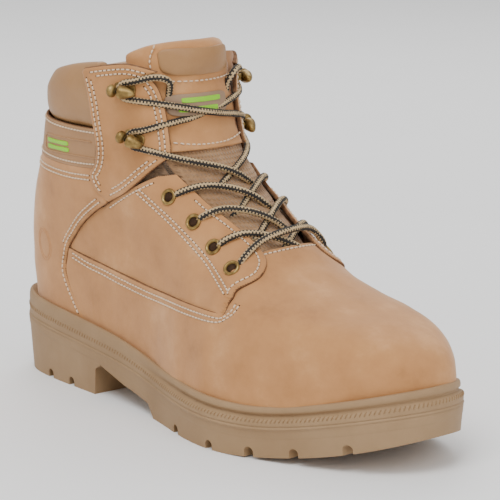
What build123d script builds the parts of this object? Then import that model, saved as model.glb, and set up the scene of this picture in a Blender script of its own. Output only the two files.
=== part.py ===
"""Steel toe work boot, right foot, ankle height, padded collar, laced front.

Frame: millimetres, toe towards +X, lateral (outer) side towards -Y, +Z up.
The origin is on the ground under the middle of the boot.
"""
from build123d import *
import math
import os

os.makedirs("parts", exist_ok=True)

# ---- driving dimensions -------------------------------------------------
LEATHER = 2.0          # thickness of the upper leather
STIFFENER_IN = 2.3     # start of the layer of cap, counter and foam, below the leather face
STIFFENER_OUT = 4.0    # end of that layer
LINING_IN = 4.3        # start of the textile lining
LINING_OUT = 5.4       # inner face of the lining
SEAM = 0.15            # half the gap between neighbouring panels
MIDDLE_Y = 4.0         # line of the lacing
POCKET_DEPTH = 10.0    # the rand stands this much above the floor of its pocket
LACE_D = 3.8
EYELET_BORE_R = 2.6
EYELET_R = 4.4
PLATE_T = 0.8
BOARD_T = 1.8
FOOTBED_T = 4.0

# Upper, side view: (z, x) of the front ridge line and of the back line
FRONT = [(30, 150), (42, 152.5), (50, 152), (58, 148.5), (64.5, 140), (69.5, 125), (74, 105),
         (80, 84), (89.5, 62), (100, 44), (112.5, 26), (125, 8), (137, -6), (148, -13),
         (161, -17), (176, -20), (200, -22)]
BACK = [(30, -151.3), (44, -152), (60, -152.8), (80, -151.6), (100, -147), (120, -140), (140, -133),
        (155, -128), (175, -126), (200, -127)]
# Foot half widths (x, half width), lateral and medial, and how they narrow with height
LATERAL = [(-156, 37), (-120, 38), (-96, 38.5), (-60, 40), (-22, 43.5), (17, 54), (54, 59),
           (88, 53.5), (116, 47.5), (142, 43), (156, 41)]
MEDIAL = [(-156, 35), (-120, 36), (-80, 36), (-40, 36), (0, 40), (50, 49), (90, 50), (120, 44.5),
          (156, 37)]
FOOT_ALLOWANCE = 5.0   # the welt lip's share of those half widths
AXIS_Y = [(-156, 5), (-40, 4), (60, 4), (156, 10)]
LEAN = [(45, 1.0), (60, 0.97), (75, 0.9), (90, 0.82), (105, 0.78)]
# How far the heel draws in above the sole, by height and by place along the boot
TUCK = [(36, 2.4), (52, 1.4), (80, 0)]
TUCK_SHARE = [(-60, 1), (-5, 0)]
SHAFT = [(30, 38), (80, 39), (105, 37.5), (130, 37.5), (150, 40), (200, 45)]
SHAFT_SHARE = [(30, 0.0), (60, 0.15), (110, 0.9), (140, 1.0)]
TOE_SQUARE = [(30, 7), (60, 6), (75, 4.6), (90, 4), (105, 3.4), (120, 2.8), (150, 2.4), (200, 2.3)]
HEEL_SQUARE = [(30, 10), (60, 9), (90, 6.5), (120, 4.6), (150, 3.6), (200, 3.2)]
TOP_LEVEL = 200
LEVELS = [14, 30, 45, 57, 66, 74, 84, 97, 113, 132, 152, 174, TOP_LEVEL]

# Sole: plan outline of the welt lip, and side-view heights along x
OUTLINE = [(-157.5, 5), (-151.5, -17.5), (-143, -23.5), (-127, -28.5), (-96.5, -32), (-62, -34.5),
           (-22, -39), (17, -50.5), (54, -56), (88, -47.5), (116, -37.5), (142, -23), (156, 3),
           (153, 21), (141, 37), (121, 48.5), (92, 54.5), (55, 54), (10, 46.5), (-35, 41),
           (-80, 41.5), (-120, 40), (-143, 33.5), (-154, 20)]
RAND_Z = [(-160, 44.4), (-60, 35.3), (0, 28.1), (70, 27.2), (160, 44.6)]
LIP_Z = [(-160, 31.7), (-60, 25.2), (0, 18.0), (70, 16.0), (160, 32.0)]


def smooth(table, t):
    """Monotone cubic through (t, value) pairs, flat beyond both ends."""
    if t <= table[0][0]:
        return table[0][1]
    if t >= table[-1][0]:
        return table[-1][1]
    secants = [(b[1] - a[1]) / (b[0] - a[0]) for a, b in zip(table, table[1:])]
    slopes = [secants[0]]
    for left, right in zip(secants, secants[1:]):
        slopes.append(2 * left * right / (left + right) if left * right > 0 else 0.0)
    slopes.append(secants[-1])
    i = max(k for k in range(len(table) - 1) if table[k][0] <= t)
    width = table[i + 1][0] - table[i][0]
    u = (t - table[i][0]) / width
    rise = table[i + 1][1] - table[i][1]
    m0 = slopes[i] * width
    m1 = slopes[i + 1] * width
    return table[i][1] + m0 * u + (3 * rise - 2 * m0 - m1) * u**2 + (m0 + m1 - 2 * rise) * u**3


def front_x(z, inset=0.0):
    """Front ridge line at height z, moved inwards at right angles to itself."""
    level = z
    run = 1.0
    for _ in range(30):
        slope = smooth(FRONT, level + 0.5) - smooth(FRONT, level - 0.5)
        run = math.hypot(1.0, slope)
        level += 0.5 * (z - level - inset * slope / run)
    return smooth(FRONT, level) - inset / run


def half_width(x, z, table):
    tuck = smooth(TUCK, z) * smooth(TUCK_SHARE, x)
    foot = (smooth(table, x) - FOOT_ALLOWANCE - tuck) * smooth(LEAN, z)
    share = smooth(SHAFT_SHARE, z)
    return foot * (1 - share) + smooth(SHAFT, z) * share


def ring(z, inset=0.0, count=11):
    """Closed ring of points round the upper at height z."""
    back = smooth(BACK, z) + inset
    front = front_x(z, inset)
    lateral = []
    medial = []
    for k in range(count + 1):
        s = -math.cos(math.pi * k / count)
        x = (back + front) / 2 + s * (front - back) / 2
        power = smooth(HEEL_SQUARE if s < 0 else TOE_SQUARE, z)
        fill = (1 - abs(s) ** power) ** (1 / 2.2) if abs(s) < 1 else 0.0
        middle = smooth(AXIS_Y, x)
        lateral.append((x, middle - (half_width(x, z, LATERAL) - inset) * fill))
        medial.append((x, middle + (half_width(x, z, MEDIAL) - inset) * fill))
    return lateral + medial[-2:0:-1]


def hull(inset, top=TOP_LEVEL, foot=LEVELS[0]):
    """Solid body inside the upper's outer face moved inwards by inset, between two heights."""
    with BuildPart() as body:
        for z in [level for level in LEVELS if foot <= level <= top]:
            with BuildSketch(Plane.XY.offset(z)):
                with BuildLine():
                    Spline(*ring(z, inset), periodic=True)
                make_face()
        loft()
    return body.part


def wall(x, z, table, inset=0.0):
    """Point of the upper's face in side-view place (x, z) on the side that the table describes."""
    back = smooth(BACK, z) + inset
    front = front_x(z, inset)
    s = max(-1.0, min(1.0, (2 * x - back - front) / (front - back)))
    power = smooth(HEEL_SQUARE if s < 0 else TOE_SQUARE, z)
    fill = (1 - abs(s) ** power) ** (1 / 2.2) if abs(s) < 1 else 0.0
    side = -1 if table is LATERAL else 1
    return Vector(x, smooth(AXIS_Y, x) + side * (half_width(x, z, table) - inset) * fill, z)


def wall_plane(x, z, table, turn=0.0):
    """Plane on the upper's face, normal outwards, its x axis pointing back, turned about the normal."""
    along = wall(x - 1, z, table) - wall(x + 1, z, table)
    rise = wall(x, z + 1, table) - wall(x, z - 1, table)
    normal = rise.cross(along)
    if normal.Y * (-1 if table is LATERAL else 1) < 0:
        normal = normal * -1
    along = along.rotate(Axis((0, 0, 0), normal), turn)
    return Plane(origin=wall(x, z, table), x_dir=along, z_dir=normal)


# ---- heights along the sole, side view (x, z) ----------------------------
def raised(table, rise):
    return [(x, z + rise) for x, z in table]


POCKET_Z = raised(RAND_Z, -POCKET_DEPTH)
UPPER_FOOT = 0.4       # gap under the upper's lower edge
REAR_X = -175
TOE_X = 180
TOP_Z = 205
WIDE = 120
CENTRE = Plane(origin=(0, MIDDLE_Y, 0), x_dir=(1, 0, 0), z_dir=(0, -1, 0))

# ---- panel edges, side view (x, z) ---------------------------------------
HEEL_EDGE_LOW = [(-78, 10), (-86, 36), (-92, 47.5), (-101, 64), (-97.5, 78)]
HEEL_EDGE_HIGH = [(-97.5, 78), (-81, 94.5), (-57, 109.7)]
WING_TOP = [(-97.5, 78), (-62.5, 73.4), (-20.6, 69.2), (7.3, 68.8), (50, 69)]
FLAP_FRONT = [(50, 69), (51.5, 80), (56, 90)]
ANKLE_LOW = [(-57, 109.7), (-41.6, 117.4), (-30, 126.4), (-19, 137.5)]
ANKLE_HEEL = [(-57, 109.7), (-65.5, 115.5), (-70, 122), (-67.8, 127)]
ANKLE_BAND = [(-67.8, 127), (-63.5, 138), (-63, 150)]
ANKLE_PAD = [(-63, 150), (-65, 169), (-68, 181)]
ANKLE_TOP = [(-68, 181), (-52, 185), (-41, 186), (-33, 183.5)]
ANKLE_FRONT = [(-33, 183.5), (-28.4, 174.6), (-24.7, 161), (-20.3, 145), (-19, 137.5)]
BAND_LOW = [(-67.8, 127), (-97, 125.5), (-119, 126.3), (REAR_X, 128.5)]
BAND_HIGH = [(-63, 150), (-82, 148.8), (-107, 149.8), (REAR_X, 152.5)]
PAD_TOP = [(-68, 181), (-82, 180), (-102, 176.5), (-125, 172.5), (REAR_X, 171)]
LINING_FRONT = [(8, 84), (-12, 98), (-27, 112), (-40, 126), (-46, 142), (-50, 160), (-52, 181)]
TONGUE_REAR = [(40, 80), (20, 94), (-10, 108), (-36, 125), (-48, 150), (-54, 175), (-58, TOP_Z)]
# Front view (y, z): the throat between the flaps, and half of the tongue
THROAT = [(-14.5, 75), (-14.5, 96), (-15.5, 107), (-18.5, 115), (-21, 124), (-24, 140)]
TONGUE_SIDE = [(-9, 80), (-13, 92), (-19, 115), (-23, 140), (-24, 172), (-20, 190)]
TONGUE_TOP_Z = 197
TONGUE_HEM_Z = 138
EYELETS = [(40, 88.5), (23, 97.5), (6.5, 108), (-12.5, 118.5)]
HOOKS = [(-37, 146.5, 18), (-42, 172, 4)]


def outline(*edges):
    """Closed side-view face; an edge of over two (x, z) points is a spline."""
    with BuildSketch(CENTRE) as face:
        with BuildLine():
            for edge in edges:
                if len(edge) > 2:
                    Spline(*edge)
                else:
                    Line(*edge)
        make_face()
    return face.sketch


def back_of(edge):
    return list(reversed(edge))


def chain(*points):
    """Straight edges from point to point."""
    return [[a, b] for a, b in zip(points, points[1:])]


def block(face, side="both"):
    """Side-view face drawn out sideways, over one side of the boot or over both."""
    with BuildPart() as solid:
        add(face if side == "lateral" else face.moved(Location((0, WIDE, 0))))
        extrude(amount=2 * WIDE if side == "both" else WIDE, dir=(0, -1, 0))
    return solid.part


def export(piece, name):
    piece.part.label = name
    export_step(piece.part, f"parts/{name}.step")


def band(low, high):
    """Block between two lines along the sole."""
    return block(outline(low, *chain(low[-1], high[-1]), back_of(high), *chain(high[0], low[0])))


# ---- bodies that the layers of the upper are cut from --------------------
above_pocket = band(raised(POCKET_Z, UPPER_FOOT), [(-160, TOP_Z), (160, TOP_Z)])
face_body = hull(0.0) & above_pocket
leather_in = hull(LEATHER)
stiff_out = hull(STIFFENER_IN) & above_pocket
stiff_in = hull(STIFFENER_OUT)
lining_out = hull(LINING_IN) & above_pocket
lining_in = hull(LINING_OUT)


def layer(outer, inner, face, side="both"):
    """Wall between two bodies, cut to a side-view outline."""
    with BuildPart() as wall_piece:
        add(outer)
        add(inner, mode=Mode.SUBTRACT)
        add(block(face, side), mode=Mode.INTERSECT)
    return wall_piece.part


def holes(places, side, radius):
    """Bores through the upper at right angles to it."""
    table = LATERAL if side == "lateral" else MEDIAL
    with BuildPart() as bores:
        for place in places:
            plane = wall_plane(place[0], place[1], table)
            with BuildSketch(plane.offset(-8)):
                Circle(radius)
            extrude(amount=16)
    return bores.part


SIDES = ["lateral", "medial"]
RIVET_R = 1.4
BORE_GAP = 0.15
BARREL_R = 3.1
GAP = 0.3

# ---- vamp: toe, both wings -----------------------------------------------
vamp_face = outline(
    *chain((-78, 0), HEEL_EDGE_LOW[0]), HEEL_EDGE_LOW, WING_TOP, FLAP_FRONT,
    *chain(FLAP_FRONT[-1], (62, 100), (TOE_X, 100), (TOE_X, 0), (-78, 0)))
with BuildPart() as vamp:
    add(layer(face_body, leather_in, vamp_face))
export(vamp, "vamp")

# ---- quarters, with their eyelet holes -----------------------------------
quarter_face = outline(
    WING_TOP, FLAP_FRONT, *chain(FLAP_FRONT[-1], (62, 100), (-10, 141), ANKLE_LOW[-1]),
    back_of(ANKLE_LOW), back_of(HEEL_EDGE_HIGH))
throat = THROAT + [(2 * MIDDLE_Y - y, z) for y, z in reversed(THROAT)]
with BuildPart() as throat_cut:
    with BuildSketch(Plane.YZ.offset(-40)):
        with BuildLine():
            Polyline(*throat, close=True)
        make_face()
    extrude(amount=150)
for side in SIDES:
    with BuildPart() as quarter:
        add(layer(face_body, leather_in, quarter_face, side))
        add(throat_cut.part, mode=Mode.SUBTRACT)
        add(holes(EYELETS, side, BARREL_R + BORE_GAP), mode=Mode.SUBTRACT)
    export(quarter, f"quarter_{side}")

# ---- ankle panels that carry the lace hooks ------------------------------
ankle_face = outline(ANKLE_HEEL, ANKLE_BAND, ANKLE_PAD, ANKLE_TOP, ANKLE_FRONT,
                     back_of(ANKLE_LOW))
for side in SIDES:
    with BuildPart() as ankle_panel:
        add(layer(face_body, leather_in, ankle_face, side))
        add(holes(HOOKS, side, RIVET_R + BORE_GAP), mode=Mode.SUBTRACT)
    export(ankle_panel, f"ankle_panel_{side}")

# ---- heel panels, one each side, and the strip over their seam -----------
heel_face = outline(
    *chain((REAR_X, 0), (-78, 0), HEEL_EDGE_LOW[0]), HEEL_EDGE_LOW, HEEL_EDGE_HIGH, ANKLE_HEEL,
    BAND_LOW, *chain(BAND_LOW[-1], (REAR_X, 0)))
with BuildPart() as heel_seam:
    with BuildSketch(Plane.XY):
        with Locations((REAR_X + 30, MIDDLE_Y)):
            Rectangle(60, 2 * SEAM)
    extrude(amount=TOP_Z)
for side in SIDES:
    with BuildPart() as heel_panel:
        add(layer(face_body, leather_in, heel_face, side))
        add(heel_seam.part, mode=Mode.SUBTRACT)
    export(heel_panel, f"heel_panel_{side}")

STRIP_HALF = 8
STRIP_T = 1.4
STRIP_LOW = 48
STRIP_HIGH = 124
with BuildPart() as backstay_strip:
    add(hull(-STRIP_T - SEAM))
    add(hull(-SEAM), mode=Mode.SUBTRACT)
    with BuildSketch(Plane.YZ.offset(REAR_X)):
        with Locations((MIDDLE_Y, (STRIP_LOW + STRIP_HIGH) / 2)):
            RectangleRounded(2 * STRIP_HALF, STRIP_HIGH - STRIP_LOW, 3)
    extrude(amount=75, mode=Mode.INTERSECT)
export(backstay_strip, "backstay_strip")

# ---- collar band and collar pad ------------------------------------------
PAD_BULGE = 1.2
PAD_T = 8.0
band_face = outline(BAND_LOW, *chain(BAND_LOW[-1], BAND_HIGH[-1]), back_of(BAND_HIGH),
                    back_of(ANKLE_BAND))
with BuildPart() as collar_band:
    add(layer(face_body, leather_in, band_face))
export(collar_band, "collar_band")

pad_face = outline(BAND_HIGH, *chain(BAND_HIGH[-1], PAD_TOP[-1]), back_of(PAD_TOP),
                   back_of(ANKLE_PAD))
with BuildPart() as collar_pad:
    add(layer(hull(-PAD_BULGE), hull(PAD_T), pad_face))
export(collar_pad, "collar_pad")

# ---- stiffeners and foam between leather and lining ----------------------
LAYER_TOP = 148.2
ANKLE_GAP_X = -62.3
stiff_pieces = {
    "toe_cap": outline(*chain((90, 0), (86, 60), (84, 95), (TOE_X, 95), (TOE_X, 0), (90, 0))),
    "toe_cap_edge_strip": outline(
        *chain((82, 0), (78, 60), (76, 95), (83.7, 95), (85.7, 60), (89.7, 0), (82, 0))),
    "vamp_interlining": outline(
        *chain((-60, 0), (-60, 62), (46, 63), (58, 92), (75.7, 95), (77.7, 60), (81.7, 0), (-60, 0))),
    "heel_counter": outline(
        *chain((REAR_X, 0), (-60.3, 0), (-60.3, 58)), [(-60.3, 58), (-72, 74), (-95, 82)],
        *chain((-95, 82), (REAR_X, 83), (REAR_X, 0))),
    "ankle_foam": outline(
        LINING_FRONT, *chain(LINING_FRONT[-1], (ANKLE_GAP_X, 181), (ANKLE_GAP_X, LAYER_TOP),
                             (REAR_X, LAYER_TOP), (REAR_X, 84), LINING_FRONT[0])),
}
for name, face in stiff_pieces.items():
    with BuildPart() as stiffener:
        add(layer(stiff_out, stiff_in, face))
    export(stiffener, name)

# ---- textile lining ------------------------------------------------------
with BuildPart() as shaft_lining:
    add(layer(lining_out, lining_in, outline(
        LINING_FRONT, *chain(LINING_FRONT[-1], (ANKLE_GAP_X, 181), (ANKLE_GAP_X, LAYER_TOP),
                             (REAR_X, LAYER_TOP), (REAR_X, 0), (8, 0), LINING_FRONT[0]))))
export(shaft_lining, "shaft_lining")
with BuildPart() as vamp_lining:
    add(layer(lining_out, lining_in, outline(
        *chain((8.3, 0), (8.3, 78), (44, 79), (58, 93), (TOE_X, 95), (TOE_X, 0), (8.3, 0)))))
export(vamp_lining, "vamp_lining")


# ---- boards inside the sole pocket ---------------------------------------
def board(name, inset, low, thickness):
    """Flat piece on the pocket floor, following the boot's plan."""
    with BuildPart() as sheet:
        add(hull(inset, 64.5))
        add(band(raised(POCKET_Z, low), raised(POCKET_Z, low + thickness)), mode=Mode.INTERSECT)
    export(sheet, name)


plate_low = GAP
board_low = plate_low + PLATE_T + GAP
footbed_low = board_low + BOARD_T + GAP
board("midplate", LINING_OUT + 2.6, plate_low, PLATE_T)
board("insole_board", LINING_OUT + 1.8, board_low, BOARD_T)
board("footbed", LINING_OUT + 2.6, footbed_low, FOOTBED_T)


# ---- sole: tread unit and the rand that the upper sits in ----------------
LIP_H = 3.0            # height of the welt lip
SOLE_GAP = 0.02        # bond line between outsole and midsole
RAND_INSET = 1.2       # the rand's wall stands this much inside the lip
HEEL_FRONT_X = -73
ARCH_Z = 18
FORE_BACK_X = -14
TOE_SPRING = [(50, 0), (86, 2.2), (118, 7.8), (160, 20.5)]
NOTCH_X = [-117.6, -96, 16, 49, 75, 100, 128]
NOTCH_W = 5.0
NOTCH_H = 5.0
NOTCH_LEN = 13
RIB_X = [-2, 32, 62, 87.5, 114]
RIB_W = 3.0
RIB_LEN = 44


def plan(inset):
    """Plan outline of the sole at the welt lip, moved inwards."""
    points = []
    for before, (x, y), after in zip(OUTLINE[-1:] + OUTLINE, OUTLINE, OUTLINE[1:] + OUTLINE[:1]):
        along = Vector(after[0] - before[0], after[1] - before[1]).normalized()
        points.append((x - inset * along.Y, y + inset * along.X))
    with BuildSketch(Plane.XY) as shape:
        with BuildLine():
            Spline(*points, periodic=True)
        make_face()
    return shape.sketch


def raised_sole(shape, low, height):
    with BuildPart() as solid:
        add(shape.moved(Location((0, 0, low))))
        extrude(amount=height, dir=(0, 0, 1))
    return solid.part


def edge_y(x, side):
    """Outline's y at x on one side of the boot."""
    edge = [p for p in OUTLINE if (p[1] < 4) == (side == "lateral") and abs(p[0]) < 152]
    return smooth(sorted(edge), x)


with BuildPart() as tread_body:
    with BuildSketch(Plane.XY.offset(-1)):
        with BuildLine():
            Spline(*[((x + 0.5) * 0.984 - 0.5, 4 + (y - 4) * 0.95) for x, y in OUTLINE],
                   periodic=True)
        make_face()
    with BuildSketch(Plane.XY.offset(32)):
        add(plan(0))
    loft()

with BuildPart() as outsole:
    add(tread_body.part)
    add(block(outline(
        *chain((-160, 28.7), (-160, 4), (-150, 0), (HEEL_FRONT_X, 0), (HEEL_FRONT_X + 2, 15),
               (HEEL_FRONT_X + 7, ARCH_Z), (-44, 11.5), (-19, 7), (FORE_BACK_X, 0), (50, 0)),
        TOE_SPRING, *chain((160, 20.5), (160, 29)), back_of(raised(LIP_Z, -LIP_H)))),
        mode=Mode.INTERSECT)
    for x in NOTCH_X:
        ground = smooth(TOE_SPRING, x)
        for side, outwards in (("lateral", -1), ("medial", 1)):
            start = edge_y(x, side) + 8 * outwards
            with BuildSketch(Plane(origin=(x, start, ground), x_dir=(1, 0, 0),
                                   z_dir=(0, -outwards, 0))):
                SlotCenterToCenter(2 * NOTCH_H - NOTCH_W, NOTCH_W, rotation=90)
            extrude(amount=NOTCH_LEN + 8, mode=Mode.SUBTRACT)
    for x in RIB_X:
        for turn in (-1, 1):
            with BuildSketch(Plane.XY.offset(smooth(TOE_SPRING, x) - 3)):
                with Locations(Location((x, 4 + 15 * turn, 0), (0, 0, 24 * turn))):
                    SlotOverall(RIB_LEN / 2 + 8, RIB_W, rotation=90)
            extrude(amount=6.5, mode=Mode.SUBTRACT)
export(outsole, "outsole")

with BuildPart() as welt_lip:
    add(raised_sole(plan(0), 0, 60))
    add(band(raised(LIP_Z, -LIP_H + SOLE_GAP), LIP_Z), mode=Mode.INTERSECT)
with BuildPart() as pocket:
    add(hull(-GAP, 84))
    add(band(POCKET_Z, [(-160, 80), (160, 80)]), mode=Mode.INTERSECT)
with BuildPart() as midsole:
    add(raised_sole(plan(RAND_INSET), 0, 60))
    add(band(raised(LIP_Z, -LIP_H / 2), RAND_Z), mode=Mode.INTERSECT)
    add(welt_lip.part)
    add(pocket.part, mode=Mode.SUBTRACT)
export(midsole, "midsole")

# ---- tongue: face, padding, lining, badge --------------------------------
TONGUE_FACE = 8.2      # depth of the tongue's face below the upper's face
TONGUE_LEATHER = 1.5
TONGUE_FOAM = 5.0
TONGUE_FOOT = 79
tongue_front = TONGUE_SIDE + [(2 * MIDDLE_Y - y, z) for y, z in reversed(TONGUE_SIDE)]
with BuildPart() as tongue_block:
    with BuildSketch(Plane.YZ.offset(-90)):
        with BuildLine():
            Spline(*TONGUE_SIDE)
            ThreePointArc(TONGUE_SIDE[-1], (MIDDLE_Y, TONGUE_TOP_Z), tongue_front[len(TONGUE_SIDE)])
            Spline(*tongue_front[len(TONGUE_SIDE):])
            Line(tongue_front[-1], TONGUE_SIDE[0])
        make_face()
    extrude(amount=200)
    add(block(outline(TONGUE_REAR, *chain(TONGUE_REAR[-1], (60, TOP_Z), (60, 84), (46, 84),
                                          TONGUE_REAR[0]))), mode=Mode.INTERSECT)


def tongue_layer(name, depth, thickness, low, high):
    """Layer of the tongue at a depth below the upper's face, between two heights."""
    with BuildPart() as sheet:
        add(hull(depth, foot=TONGUE_FOOT))
        add(hull(depth + thickness, foot=TONGUE_FOOT), mode=Mode.SUBTRACT)
        add(tongue_block.part, mode=Mode.INTERSECT)
        with BuildSketch(Plane.XY.offset(low)):
            Rectangle(300, 200)
        extrude(amount=high - low, mode=Mode.INTERSECT)
    export(sheet, name)


foam_depth = TONGUE_FACE + TONGUE_LEATHER + GAP
tongue_layer("tongue_face", TONGUE_FACE, TONGUE_LEATHER, TONGUE_HEM_Z + GAP, TOP_Z)
tongue_layer("tongue_textile", TONGUE_FACE + 0.3, TONGUE_LEATHER - 0.3, 60, TONGUE_HEM_Z)
tongue_layer("tongue_foam", foam_depth, TONGUE_FOAM, 60, 194)
tongue_layer("tongue_lining", foam_depth + TONGUE_FOAM + GAP, 1.0, 60, TOP_Z)
BADGE_T = 0.9
BADGE_W = 32
BADGE_H = 11
BADGE_Z = 163
with BuildPart() as tongue_badge:
    add(hull(TONGUE_FACE - GAP - BADGE_T, foot=TONGUE_FOOT))
    add(hull(TONGUE_FACE - GAP, foot=TONGUE_FOOT), mode=Mode.SUBTRACT)
    with BuildSketch(Plane.YZ.offset(-60)):
        with Locations((MIDDLE_Y - 1, BADGE_Z)):
            RectangleRounded(BADGE_W, BADGE_H, 2)
    extrude(amount=60, mode=Mode.INTERSECT)
export(tongue_badge, "tongue_badge")

# ---- pull loop: folded strap hanging from the collar seam -----------------
LOOP_W = 17
with BuildPart() as pull_loop:
    with BuildSketch(Plane(origin=(0, MIDDLE_Y - LOOP_W / 2, 0), x_dir=(1, 0, 0),
                           z_dir=(0, -1, 0))):
        with BuildLine():
            Polyline((-131.6, 151), (-133, 153), (-135.5, 152), (-138.4, 146), (-139.6, 138),
                     (-140.6, 131.5), (-138.6, 131), (-135.4, 141), (-131.6, 151))
        make_face()
    extrude(amount=-LOOP_W)
    fillet(pull_loop.edges().filter_by(Axis.Y), 0.6)
export(pull_loop, "pull_loop")

# ---- eyelets, lace hooks and their rivets --------------------------------
FLANGE_T = 0.8
FLANGE_LIFT = 0.45     # a flat flange or plate stands this much off the curved leather
WASHER_T = 0.6
WASHER_R = 4.0
WASHER_DEPTH = LEATHER + 0.9
HOOK_PLATE = (10, 7.5)
POST_R = 1.8
HOOK_RISE = 7.3        # axis of the hook's body above the leather
# Hook body, turned about its axis: (place along the axis, radius), dome first and ball last
HOOK_PROFILE = [(-5.5, 0), (-5.4, 0.8), (-4.7, 2.0), (-3.1, 2.9), (-1.1, 3.0), (-0.2, 2.4),
                (-0.1, 1.1), (0.6, 1.1), (0.9, 2.1), (2.3, 2.7), (3.9, 2.5), (5.0, 1.6), (5.5, 0)]
for side in SIDES:
    table = LATERAL if side == "lateral" else MEDIAL
    with BuildPart() as eyelets:
        for x, z in EYELETS:
            plane = wall_plane(x, z, table)
            with BuildSketch(plane.offset(-WASHER_DEPTH)):
                Circle(BARREL_R)
            extrude(amount=WASHER_DEPTH + FLANGE_LIFT + 0.1)
            with BuildSketch(plane.offset(FLANGE_LIFT)):
                Circle(EYELET_R)
            extrude(amount=FLANGE_T)
            with BuildSketch(plane.offset(-WASHER_DEPTH)):
                Circle(WASHER_R)
            extrude(amount=WASHER_T)
            with BuildSketch(plane.offset(-2 * WASHER_DEPTH)):
                Circle(EYELET_BORE_R)
            extrude(amount=4 * WASHER_DEPTH, mode=Mode.SUBTRACT)
    export(eyelets, f"eyelets_{side}")

    with BuildPart() as hooks:
        for x, z, turn in HOOKS:
            plane = wall_plane(x, z, table, turn if side == "lateral" else -turn)
            with BuildSketch(plane.offset(FLANGE_LIFT)):
                RectangleRounded(*HOOK_PLATE, 2)
            extrude(amount=FLANGE_T)
            with BuildSketch(plane.offset(FLANGE_LIFT + FLANGE_T / 2)):
                Circle(POST_R)
            extrude(amount=HOOK_RISE - 1.5)
            centre = plane.from_local_coords((0, 0, HOOK_RISE))
            with BuildSketch(Plane(origin=centre, x_dir=plane.x_dir, z_dir=plane.y_dir)):
                with BuildLine():
                    Polyline(*HOOK_PROFILE, close=True)
                make_face()
            revolve(axis=Axis(centre, plane.x_dir))
    export(hooks, f"lace_hooks_{side}")

    with BuildPart() as rivets:
        for x, z, turn in HOOKS:
            plane = wall_plane(x, z, table)
            with BuildSketch(plane.offset(-WASHER_DEPTH)):
                Circle(RIVET_R)
            extrude(amount=WASHER_DEPTH + FLANGE_LIFT - 0.1)
            with BuildSketch(plane.offset(-WASHER_DEPTH)):
                Circle(WASHER_R)
            extrude(amount=WASHER_T)
    export(rivets, f"hook_rivets_{side}")

# ---- lace: one round cord, from aglet to aglet ---------------------------
LACE_ROUTE = [
    (-28, -17, 158.5), (-28, -15, 169.5), (-23.5, -17, 177.5), (-27.5, -24.5, 180),
    (-35.5, -32.5, 177), (-41.5, -35.5, 176), (-44, -36.5, 172), (-41.5, -35.5, 168),
    (-35.5, -32, 167), (-24.5, -22.5, 165.5), (-15, 4, 159.5), (-22.5, 30.5, 155),
    (-30.5, 38.5, 151.5), (-37, 41.5, 150.5), (-39, 42.5, 146.5), (-37, 41.5, 142.5),
    (-30.5, 38.5, 141.5), (-11, 26.5, 137), (-1, 4, 128), (2, -12, 119.5),
    (-14, -23.5, 116.5), (-7, -27, 121.5), (4, -15, 126.5), (15, 4, 121.5),
    (19, 18.5, 109), (5, 30, 106), (11, 33.5, 111.5), (19, 23, 116.5),
    (28, 4, 107), (34.5, -10.5, 98), (21.5, -23.5, 94.5), (27.5, -26.5, 101),
    (34.5, -15, 106), (46, 4, 100.5), (49, 18.5, 89), (38.5, 30.5, 85.5),
    (42, 33.5, 93), (40, 26, 102.5), (44.5, 14, 106), (46, -1, 105.5),
    (44, -14.5, 102.5), (43, -27, 93), (38.5, -25.5, 85), (49.5, -11, 89),
    (43.5, 4, 96.5), (34, 23, 106), (27, 33.5, 101), (21.5, 30, 95),
    (34, 18.5, 98), (30.5, 4, 111), (19, -15, 116.5), (11, -26, 111.5),
    (5, -23, 106), (19, -10.5, 109), (12.5, 4, 117.5), (4, 23, 126.5),
    (-7, 35, 121.5), (-14, 31.5, 117), (2, 20, 119.5), (2, 4, 131.5),
    (-10.5, -18.5, 137), (-30.5, -30.5, 141.5), (-37, -33.5, 142.5), (-39, -34.5, 146.5),
    (-37, -33.5, 150.5), (-30.5, -30.5, 151.5), (-22.5, -22.5, 155), (-19.5, 4, 158),
    (-24.5, 30.5, 165.5), (-35.5, 40, 167), (-41.5, 43.5, 168), (-44, 44.5, 172),
    (-41.5, 43.5, 176), (-35.5, 40.5, 177), (-27.5, 32.5, 180), (-23.5, 25, 177.5),
    (-28, 23, 169.5), (-28, 25, 158.5)]
AGLET_LEN = 18
AGLET_R = 1.8

runs = [Vector(*b) - Vector(*a) for a, b in zip(LACE_ROUTE, LACE_ROUTE[1:])]
radii = []
for before, after in zip(runs, runs[1:]):
    half_turn = math.radians(before.get_angle(after)) / 2
    radii.append(0.45 * min(before.length, after.length) / math.tan(half_turn))
print("lace arc radii:", [round(r, 1) for r in radii])
with BuildPart() as lace:
    with BuildLine() as lace_path:
        FilletPolyline(*LACE_ROUTE, radius=radii)
    with BuildSketch(Plane(origin=LACE_ROUTE[0], z_dir=runs[0])):
        Circle(LACE_D / 2)
    sweep(path=lace_path.wire())
length = lace_path.wire().length
print("lace length", round(length), "volume ratio",
      round(lace.part.volume / (math.pi * LACE_D**2 / 4 * length), 3))
export(lace, "lace")

with BuildPart() as aglets:
    for end, inwards in ((LACE_ROUTE[0], runs[0]), (LACE_ROUTE[-1], runs[-1] * -1)):
        with BuildSketch(Plane(origin=end, z_dir=inwards * -1)):
            Circle(AGLET_R)
        extrude(amount=AGLET_LEN)
export(aglets, "lace_aglets")
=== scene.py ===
"""Steel toe work boot: the visible pieces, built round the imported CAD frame.

Inside this file lengths are millimetres and become metres when a mesh is made.
Toe towards +X, lateral (outer) side towards -Y, +Z up.
"""
import math

import bmesh
import bpy
import numpy as np
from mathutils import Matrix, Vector, noise
from mathutils.geometry import delaunay_2d_cdt
from mathutils.kdtree import KDTree


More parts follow.
